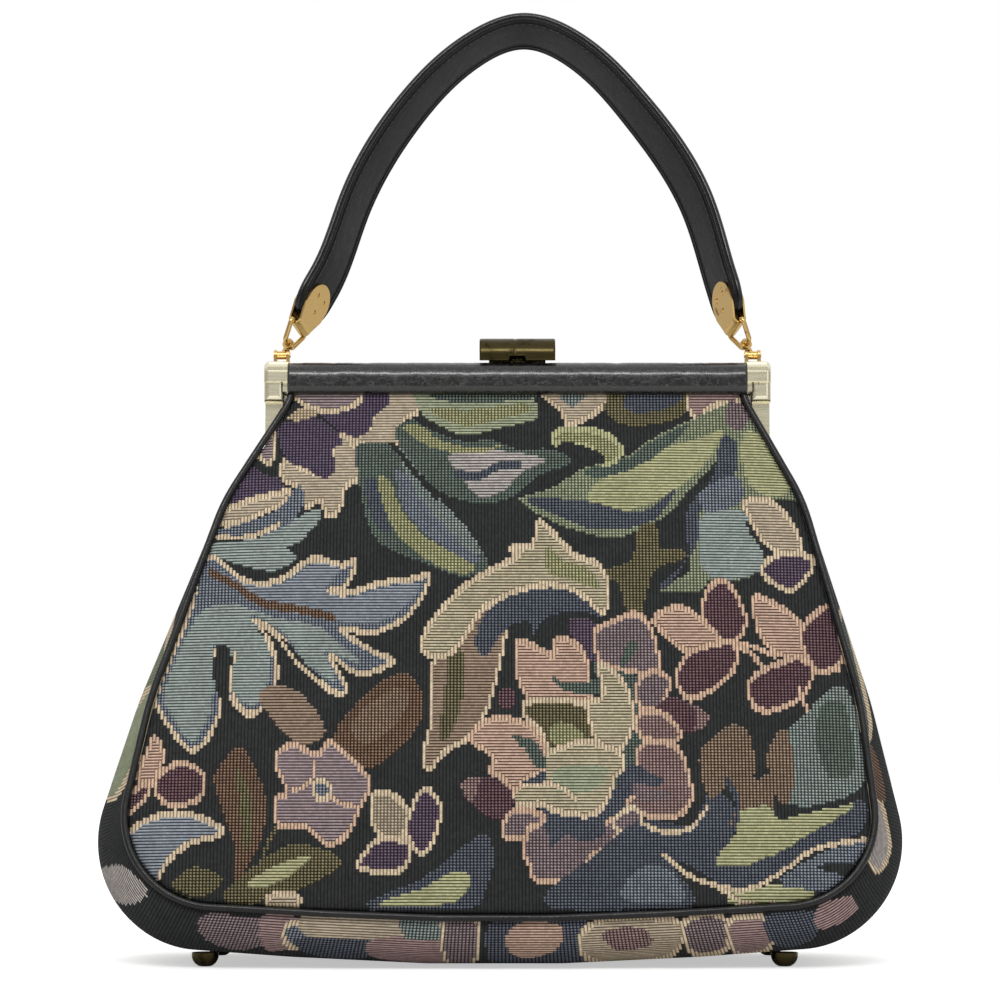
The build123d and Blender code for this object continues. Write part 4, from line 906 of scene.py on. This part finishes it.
def makeLining(side):
    name = "frontLiningCloth" if side < 0 else "backLiningCloth"
    bm = bmesh.new()
    bm.from_mesh(nodes["lining"].data)
    bmesh.ops.remove_doubles(bm, verts=bm.verts, dist=2e-6)
    bmesh.ops.bisect_plane(bm, geom=bm.verts[:] + bm.edges[:] + bm.faces[:], plane_co=(0, 0, 0),
                           plane_no=(0, -side, 0), clear_outer=True)
    bmesh.ops.holes_fill(bm, edges=[e for e in bm.edges if e.is_boundary], sides=0)
    long = [e for e in bm.edges if e.calc_length() > lining["longEdge"] * mm]
    bmesh.ops.subdivide_edges(bm, edges=long, cuts=lining["cuts"], use_grid_fill=True)
    layer = bm.loops.layers.uv.verify()
    for face in bm.faces:
        flat = abs(face.normal.y) > 0.6
        for loop in face.loops:
            p = loop.vert.co / mm
            loop[layer].uv = (p.x, p.z) if flat else (p.y, p.x + p.z)
    obj = finished(name, bm, liningCotton)
    obj.data.uv_layers[0].name = "surface"
    blendCloth(obj)
    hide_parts("lining")


for side in (-1, 1):
    makeLining(side)
print("lining made")

# leather rolled over the frame

roll = {"topZ": 238.4, "lowZ": 225.0, "near": 0.3, "depth": 12.2, "outerRound": 6.6, "lowRound": 3.4,
        "innerRound": 1.5, "half": 92.0, "stations": 230, "sides": 44, "ripple": 0.05, "wrinkle": 0.16,
        "foldCount": 46, "foldHigh": 0.12, "slant": 18}


def makeRoll(side):
    name = "frontRollLeather" if side < 0 else "backRollLeather"
    far = roll["near"] + roll["depth"]
    corners = [(roll["near"], roll["lowZ"] + 3), (roll["near"], roll["topZ"]), (far, roll["topZ"]),
               (far, roll["lowZ"]), (roll["near"], roll["lowZ"]), (roll["near"], roll["lowZ"] + 3)]
    radii = [roll["innerRound"], roll["outerRound"], roll["lowRound"], roll["innerRound"]]
    section, girth = evenly(roundedLine(corners, radii), roll["sides"])
    luck = random.Random(21 + side)
    folds = []  # where along the roll, how high round it, how wide, its lean and its depth
    for _ in range(roll["foldCount"]):
        folds.append((luck.uniform(-1, 1) * roll["half"], luck.uniform(0.25, 0.7), luck.uniform(2.0, 5.5),
                      luck.uniform(-1.3, 1.3), luck.uniform(0.5, 1.0)))
    xs = np.linspace(-roll["half"], roll["half"], roll["stations"] + 1)
    share = np.linspace(0, 1, len(section))
    middle = section.mean(0)
    inward = middle - section
    inward /= np.linalg.norm(inward, axis=1)[:, None]
    places = np.zeros((len(xs), len(section), 3))
    for i, x in enumerate(xs):
        push = roll["ripple"] * np.sin(x / 2.3 + share * 9) + roll["ripple"] * np.sin(x / 5.1 - share * 17)
        for where, high, width, lean, deep in folds:
            off = (x - where - lean * (share - high) * roll["slant"]) / (width * 0.3)
            above = (share - high) / roll["foldHigh"]
            push = push + roll["wrinkle"] * deep * np.exp(-off ** 2 - above ** 2)
        push = np.maximum(push, 0.0)
        points = section + inward * push[:, None]
        places[i] = np.stack([np.full(len(section), bag["frameX"] + x), side * points[:, 0], points[:, 1]], 1)
    uvs = np.stack(np.broadcast_arrays(share[None, :] * girth, (xs + roll["half"])[:, None]), 2)
    obj = finished(name, gridPiece(places, uvs, closed=True), rollLeather,
                   body="front_frame" if side < 0 else "back_frame")
    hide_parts("front_roll" if side < 0 else "back_roll")


for side in (-1, 1):
    makeRoll(side)
print("leather rolls made")

# handle strap, on the same line as the frame's

strap = {"width": 22.6, "outer": 2.0, "inner": 1.7, "gap": 0.1, "lean": 15.0,
         "lugX": 95.5, "axisY": 4.0, "axisZ": 242.8, "eyeHeight": 5.5, "ringHeight": 9.2, "ringTilt": 27.0,
         "bends": (0.0, 14.0), "endTwist": 20.0, "topTwist": 5.0, "twistEase": 40.0,
         "platePull": 0.9, "start": 2.6, "straight": 17.0, "tipWidth": 9.0, "tipLength": 13.0,
         "stations": 170, "mapHalf": 12,
         "arch": [(-0.7026, 67.7), (-0.4576, 112.6), (-0.1843, 140.3), (0.0325, 148.8), (0.2503, 140.3),
                  (0.5152, 112.6), (0.7812, 67.7)]}
leanAngle = math.radians(strap["lean"])
archUp = Vector((0, math.sin(leanAngle), math.cos(leanAngle)))
archBack = Vector((0, math.cos(leanAngle), -math.sin(leanAngle)))
archRoot = Vector((bag["frameX"], strap["axisY"], strap["axisZ"]))


def strapEnd(way):  # point of an end plate's fold, and the strap's directions there
    tilt, turn = math.radians(strap["ringTilt"]), math.radians(strap["endTwist"])
    along = archUp * math.cos(tilt) - Vector((way, 0, 0)) * math.sin(tilt)
    inward = archUp * -math.sin(tilt) - Vector((way, 0, 0)) * math.cos(tilt)
    across = archBack * math.cos(turn) + inward * math.sin(turn)
    face = inward * math.cos(turn) - archBack * math.sin(turn)
    bend = math.radians(strap["bends"][1 if way > 0 else 0])
    straight = along * math.cos(bend) - face * math.sin(bend)
    root = archRoot + Vector((way * strap["lugX"], 0, 0)) + along * (strap["eyeHeight"] + strap["ringHeight"])
    return root + straight * strap["platePull"], straight, across


def splineThrough(points, first, last, count):  # smooth curve through points with given ends
    p = np.array([tuple(q) for q in points])
    h = np.linalg.norm(np.diff(p, axis=0), axis=1)
    n = len(p)
    matrix, right = np.zeros((n, n)), np.zeros((n, 3))
    matrix[0, 0] = matrix[-1, -1] = 1
    right[0], right[-1] = first, last
    for i in range(1, n - 1):
        matrix[i, i - 1:i + 2] = h[i], 2 * (h[i] + h[i - 1]), h[i - 1]
        right[i] = 3 * (h[i] * (p[i] - p[i - 1]) / h[i - 1] + h[i - 1] * (p[i + 1] - p[i]) / h[i])
    slope = np.linalg.solve(matrix, right)
    out = []
    for i in range(n - 1):
        for t in np.linspace(0, 1, 40, endpoint=False):
            out.append((2 * t ** 3 - 3 * t ** 2 + 1) * p[i] + (t ** 3 - 2 * t ** 2 + t) * h[i] * slope[i]
                       + (3 * t ** 2 - 2 * t ** 3) * p[i + 1] + (t ** 3 - t ** 2) * h[i] * slope[i + 1])
    out.append(p[-1])
    return evenly(np.array(out), count)


def strapLine():
    (a, aAlong, aAcross), (b, bAlong, bAcross) = strapEnd(-1), strapEnd(1)
    reach = strap["start"] + strap["straight"]
    inner = [archRoot + Vector((u * strap["lugX"], 0, 0)) + archUp * v for u, v in strap["arch"]]
    through = [a + aAlong * reach] + inner + [b + bAlong * reach]
    points, length = splineThrough(through, aAlong, -bAlong, strap["stations"])
    ways = np.gradient(points, axis=0)
    top = max(v for _, v in strap["arch"])
    middle = archRoot + archUp * strap["arch"][0][1]
    out = []
    straight = [i / 10 for i in range(10)]
    for s in straight:
        out.append((a + aAlong * (strap["start"] + strap["straight"] * s), aAlong, aAcross))
    for i, (point, way) in enumerate(zip(points, ways)):
        point, along = Vector(point), Vector(way).normalized()
        share = i / strap["stations"]
        climb = max(0.0, (point - archRoot).dot(archUp) / top)
        turn = math.radians(strap["endTwist"] + (strap["topTwist"] - strap["endTwist"]) * climb ** 4)
        inside = along.cross(archBack).normalized()
        inside *= math.copysign(1, inside.dot(middle - point))
        across = archBack * math.cos(turn) + inside * math.sin(turn)
        eased = min(1.0, min(share, 1 - share) * length / strap["twistEase"])
        across = across * eased + (aAcross if share < 0.5 else bAcross) * (1 - eased)
        out.append((point, along, (across - along * across.dot(along)).normalized()))
    for s in straight[::-1]:
        out.append((b + bAlong * (strap["start"] + strap["straight"] * s), -bAlong, bAcross))
    return out, middle


def strapSection(low, high):  # one layer across the strap, with a rolled bead along each edge
    middle, half = (low + high) / 2, (high - low) / 2
    shares = [0, 0.3, 0.5, 0.6, 0.66, 0.7, 0.735, 0.765, 0.79, 0.82, 0.87, 0.91, 0.95, 0.985, 1.0]
    full = [1.06, 1.05, 1.0, 0.94, 0.86, 0.92, 1.26, 1.32, 1.22, 0.86, 0.8, 1.05, 1.12, 0.7, 0.0]
    right = [(s, middle + half * f) for s, f in zip(shares, full)]
    below = [(s, middle - half * f) for s, f in zip(shares[-2::-1], full[-2::-1])]
    rightHalf = right + below
    leftHalf = [(-s, f) for s, f in rightHalf[::-1]]
    return rightHalf + leftHalf[1:]


def faceInward(point, along, across, middle):  # the strap's face, turned to the inside of the arch
    face = along.cross(across).normalized()
    inside = along.cross(archBack)
    inside *= math.copysign(1, inside.dot(middle - point))
    face *= math.copysign(1, face.dot(inside))
    return face


def makeStrap(name, low, high, node, leather):
    stations, middle = strapLine()
    section = strapSection(low, high)
    places, lengths = np.zeros((len(stations), len(section), 3)), [0.0]
    first, last = stations[0][0], stations[-1][0]
    for j, (point, along, across) in enumerate(stations):
        face = faceInward(point, along, across, middle)
        tip = min((point - first).length, (point - last).length)
        width = strap["width"]
        if tip < strap["tipLength"]:
            rounding = math.sqrt(1 - (1 - tip / strap["tipLength"]) ** 2)
            width = strap["tipWidth"] + (width - strap["tipWidth"]) * rounding
        for i, (a, f) in enumerate(section):
            places[j, i] = point + across * (a * width / 2) + face * f
        if j:
            lengths.append(lengths[-1] + (point - stations[j - 1][0]).length)
    steps = [math.hypot((a1 - a0) * strap["mapHalf"], f1 - f0)
             for (a0, f0), (a1, f1) in zip(section, section[1:])]
    around = np.concatenate([[0], np.cumsum(steps)])
    uvs = np.stack(np.broadcast_arrays(around[None, :], np.array(lengths)[:, None]), 2)
    obj = finished(name, gridPiece(places, uvs, closed=True), leather, body="handle")
    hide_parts(node)


strapHalf = (strap["outer"] + strap["inner"] + strap["gap"]) / 2
makeStrap("strapOuterLeather", -strapHalf, strap["outer"] - strapHalf, "strap_outer", strapLeather)
makeStrap("strapInnerLeather", strapHalf - strap["inner"], strapHalf, "strap_inner", strapBackLeather)


stitch = {"step": 3.1, "inset": 3.9, "margin": 26.0, "size": (1.15, 0.3, 0.26), "height": 0.93}


def makeStitches():
    stations, middle = strapLine()
    bm = bmesh.new()
    travelled, due = 0.0, stitch["margin"]
    size = Matrix.Diagonal((*(s * mm for s in stitch["size"]), 1))
    total = sum((b[0] - a[0]).length for a, b in zip(stations, stations[1:]))
    for (p, along, across), (q, _, _) in zip(stations, stations[1:]):
        step = (q - p).length
        while travelled + step > due and due < total - stitch["margin"]:
            spot = p + (q - p) * ((due - travelled) / step)
            face = faceInward(p, along, across, middle)
            turn = Matrix((along, across, along.cross(across))).transposed().to_4x4()
            for edge in (-1, 1):
                for deep in (-strapHalf * stitch["height"], strapHalf * stitch["height"]):
                    centre = spot + across * edge * (strap["width"] / 2 - stitch["inset"]) + face * deep
                    bmesh.ops.create_uvsphere(bm, u_segments=6, v_segments=4, radius=1,
                                              matrix=Matrix.Translation(centre * mm) @ turn @ size)
            due += stitch["step"]
        travelled += step
    finished("strapStitches", bm, strapThread, body="handle")


makeStitches()
print("handle strap made")

# clasp's rounded hood, over the frame's lever, with a notch that clears the stud

claspHood = {"half": 15.2, "sheet": 0.75, "notchHalf": 3.3, "notchZ": 240.8, "stations": 96, "sides": 34,
             "line": [(5.0, 247.3), (-0.6, 249.1), (-6.6, 247.9), (-9.9, 243.6), (-9.75, 238.9)],
             "radii": [9.0, 6.0, 5.0], "inside": (0.0, 242.0), "endRound": 1.1, "endThin": 0.42,
             "crease": 0.18, "creaseX": -0.9, "creaseWidth": 0.5}


def makeClaspHood():
    outer, _ = evenly(roundedLine(claspHood["line"], claspHood["radii"]), claspHood["sides"])
    ways = np.gradient(outer, axis=0)
    inwards = np.stack([-ways[:, 1], ways[:, 0]], 1) / np.linalg.norm(ways, axis=1)[:, None]
    inwards *= np.sign((inwards * (np.array(claspHood["inside"]) - outer)).sum(1))[:, None]
    inner = outer + inwards * claspHood["sheet"]
    section = np.concatenate([outer, inner[::-1], outer[:1]])
    toward = np.concatenate([inwards, -inwards[::-1], inwards[:1]])
    xs = np.linspace(-claspHood["half"], claspHood["half"], claspHood["stations"] + 1)
    places = np.zeros((len(xs), len(section), 3))
    high = (section[:, 1] > claspHood["inside"][1])[:, None]
    for i, x in enumerate(xs):
        past = max(0.0, abs(x) - claspHood["half"] + claspHood["endRound"]) / claspHood["endRound"]
        shrink = claspHood["sheet"] * claspHood["endThin"] * (1 - math.sqrt(1 - min(past, 1.0) ** 2))
        crease = claspHood["crease"] * math.exp(-((x - claspHood["creaseX"]) / claspHood["creaseWidth"]) ** 2)
        points = section + toward * (shrink + crease * high)
        if abs(x) < claspHood["notchHalf"]:
            points[:, 1] = np.maximum(points[:, 1], claspHood["notchZ"])
        places[i] = np.stack([np.full(len(section), bag["frameX"] + x), points[:, 0], points[:, 1]], 1)
    finished("claspHood", gridPiece(places, closed=True), agedBrass, body="clasp")


makeClaspHood()
print("clasp made")

# finishes of the frame's own pieces

finishes = [
    (paleBrass, ["front_bar", "back_bar"]),
    (paleBrass, ["front_cap_left", "front_cap_right", "back_cap_left", "back_cap_right"]),
    (satinBrass, ["hinge_pin_left", "hinge_pin_right"]),
    (satinBrass, ["lug_left", "lug_right", "lug_pin_left", "lug_pin_right"]),
    (satinBrass, ["swivel_eye_left", "swivel_eye_right", "ring_left", "ring_right"]),
    (satinBrass, ["end_plate_left", "end_plate_right"]),
    (agedBrass, ["clasp_plate", "clasp_pin", "clasp_lever", "clasp_stud"]),
    (agedBrass, ["front_foot_left", "front_foot_right", "back_foot_left", "back_foot_right"]),
    (baseBoardFibre, ["base_board"]),
]
for material, names in finishes:
    for name in names:
        holder = nodes[name]
        if not holder.material_slots:
            holder.data.materials.append(material)
        for place in holder.material_slots:
            place.material = material
print("metal and board finished")

# studio

studio = {"dim": 0.26, "bright": 0.85, "behind": 0.8, "floorTone": 0.86, "floorLift": 0.5}
lamps = {  # place, what it points at, size and power
    "keyLamp": ((-0.15, -1.35, 1.15), (0, 0, 0.18), (1.0, 0.26), 10.5),
    "fillLamp": ((1.2, -1.1, 0.6), (0, 0, 0.15), (0.8, 1.0), 1.6),
    "topLamp": ((0.1, 0.5, 1.6), (0, 0, 0.2), (1.0, 0.8), 2.0),
}


def makeWorld():
    world = bpy.data.worlds.new("studioWorld")
    bpy.context.scene.world = world
    world.use_nodes = True
    tree = world.node_tree
    plain = tree.nodes["Background"]
    way = add(tree, "ShaderNodeSeparateXYZ", {0: add(tree, "ShaderNodeTexCoord").outputs["Generated"]})
    # the room is dim in front, and bright above and behind
    overhead = spread(tree, way.outputs[2], 0.0, 0.6, smooth=True)
    behind = spread(tree, way.outputs[1], 0.1, 0.7, smooth=True)
    lit = calc(tree, "MAXIMUM", overhead, calc(tree, "MULTIPLY", behind, studio["behind"]))
    feed(tree, spread(tree, lit, 0.0, 1.0, studio["dim"], studio["bright"]), plain.inputs[1])
    plain.inputs[0].default_value = (1, 1, 1, 1)
    white = add(tree, "ShaderNodeBackground", {"Color": (1, 1, 1, 1), "Strength": 1.0})
    path = add(tree, "ShaderNodeLightPath")
    seen = calc(tree, "MAXIMUM", path.outputs["Is Camera Ray"], path.outputs["Is Transmission Ray"])
    mixed = add(tree, "ShaderNodeMixShader", {0: seen, 1: plain, 2: white})
    feed(tree, mixed, tree.nodes["World Output"].inputs["Surface"])


def makeFloor():
    bm = bmesh.new()
    bmesh.ops.create_grid(bm, x_segments=8, y_segments=8, size=6.0)
    material, tree, shader = newMaterial("studioFloor")
    tone = studio["floorTone"]
    shader.inputs["Base Color"].default_value = (tone, tone, tone, 1)
    shader.inputs["Roughness"].default_value = 0.9
    shader.inputs["Specular IOR Level"].default_value = 0.0
    glow = add(tree, "ShaderNodeEmission", {"Color": (1, 1, 1, 1), "Strength": studio["floorLift"]})
    path = add(tree, "ShaderNodeLightPath")
    clear = add(tree, "ShaderNodeEmission", {"Color": (0, 0, 0, 1), "Strength": 0.0})
    seen = add(tree, "ShaderNodeMixShader", {0: path.outputs["Is Camera Ray"], 1: clear, 2: glow})
    both = add(tree, "ShaderNodeAddShader", {0: shader, 1: seen})
    feed(tree, both, tree.nodes["Material Output"].inputs["Surface"])
    floor = finished("studioFloor", bm, material, smooth=False)
    floor.location.z = -0.0002


def makeLamp(name, place, target, size, power):
    data = bpy.data.lights.new(name, "AREA")
    data.shape, data.size, data.size_y, data.energy = "RECTANGLE", size[0], size[1], power
    lamp = bpy.data.objects.new(name, data)
    bpy.context.scene.collection.objects.link(lamp)
    lamp.location = place
    lamp.rotation_euler = (Vector(target) - Vector(place)).to_track_quat("-Z", "Y").to_euler()


def makeCamera():
    camera = bpy.data.objects.new("photoCamera", bpy.data.cameras.new("photoCamera"))
    bpy.context.scene.collection.objects.link(camera)
    camera.data.lens, camera.data.sensor_width = photoView["lens"], photoView["sensor"]
    camera.data.clip_start, camera.data.clip_end = 0.05, 50.0
    camera.location = Vector(photoView["place"]) * mm
    camera.rotation_euler = (math.radians(90 + photoView["up"]), 0, 0)
    bpy.context.scene.camera = camera


makeWorld()
makeFloor()
for name, (place, target, size, power) in lamps.items():
    makeLamp(name, place, target, size, power)
makeCamera()
bpy.context.scene.view_settings.view_transform = "Standard"
print("studio made")
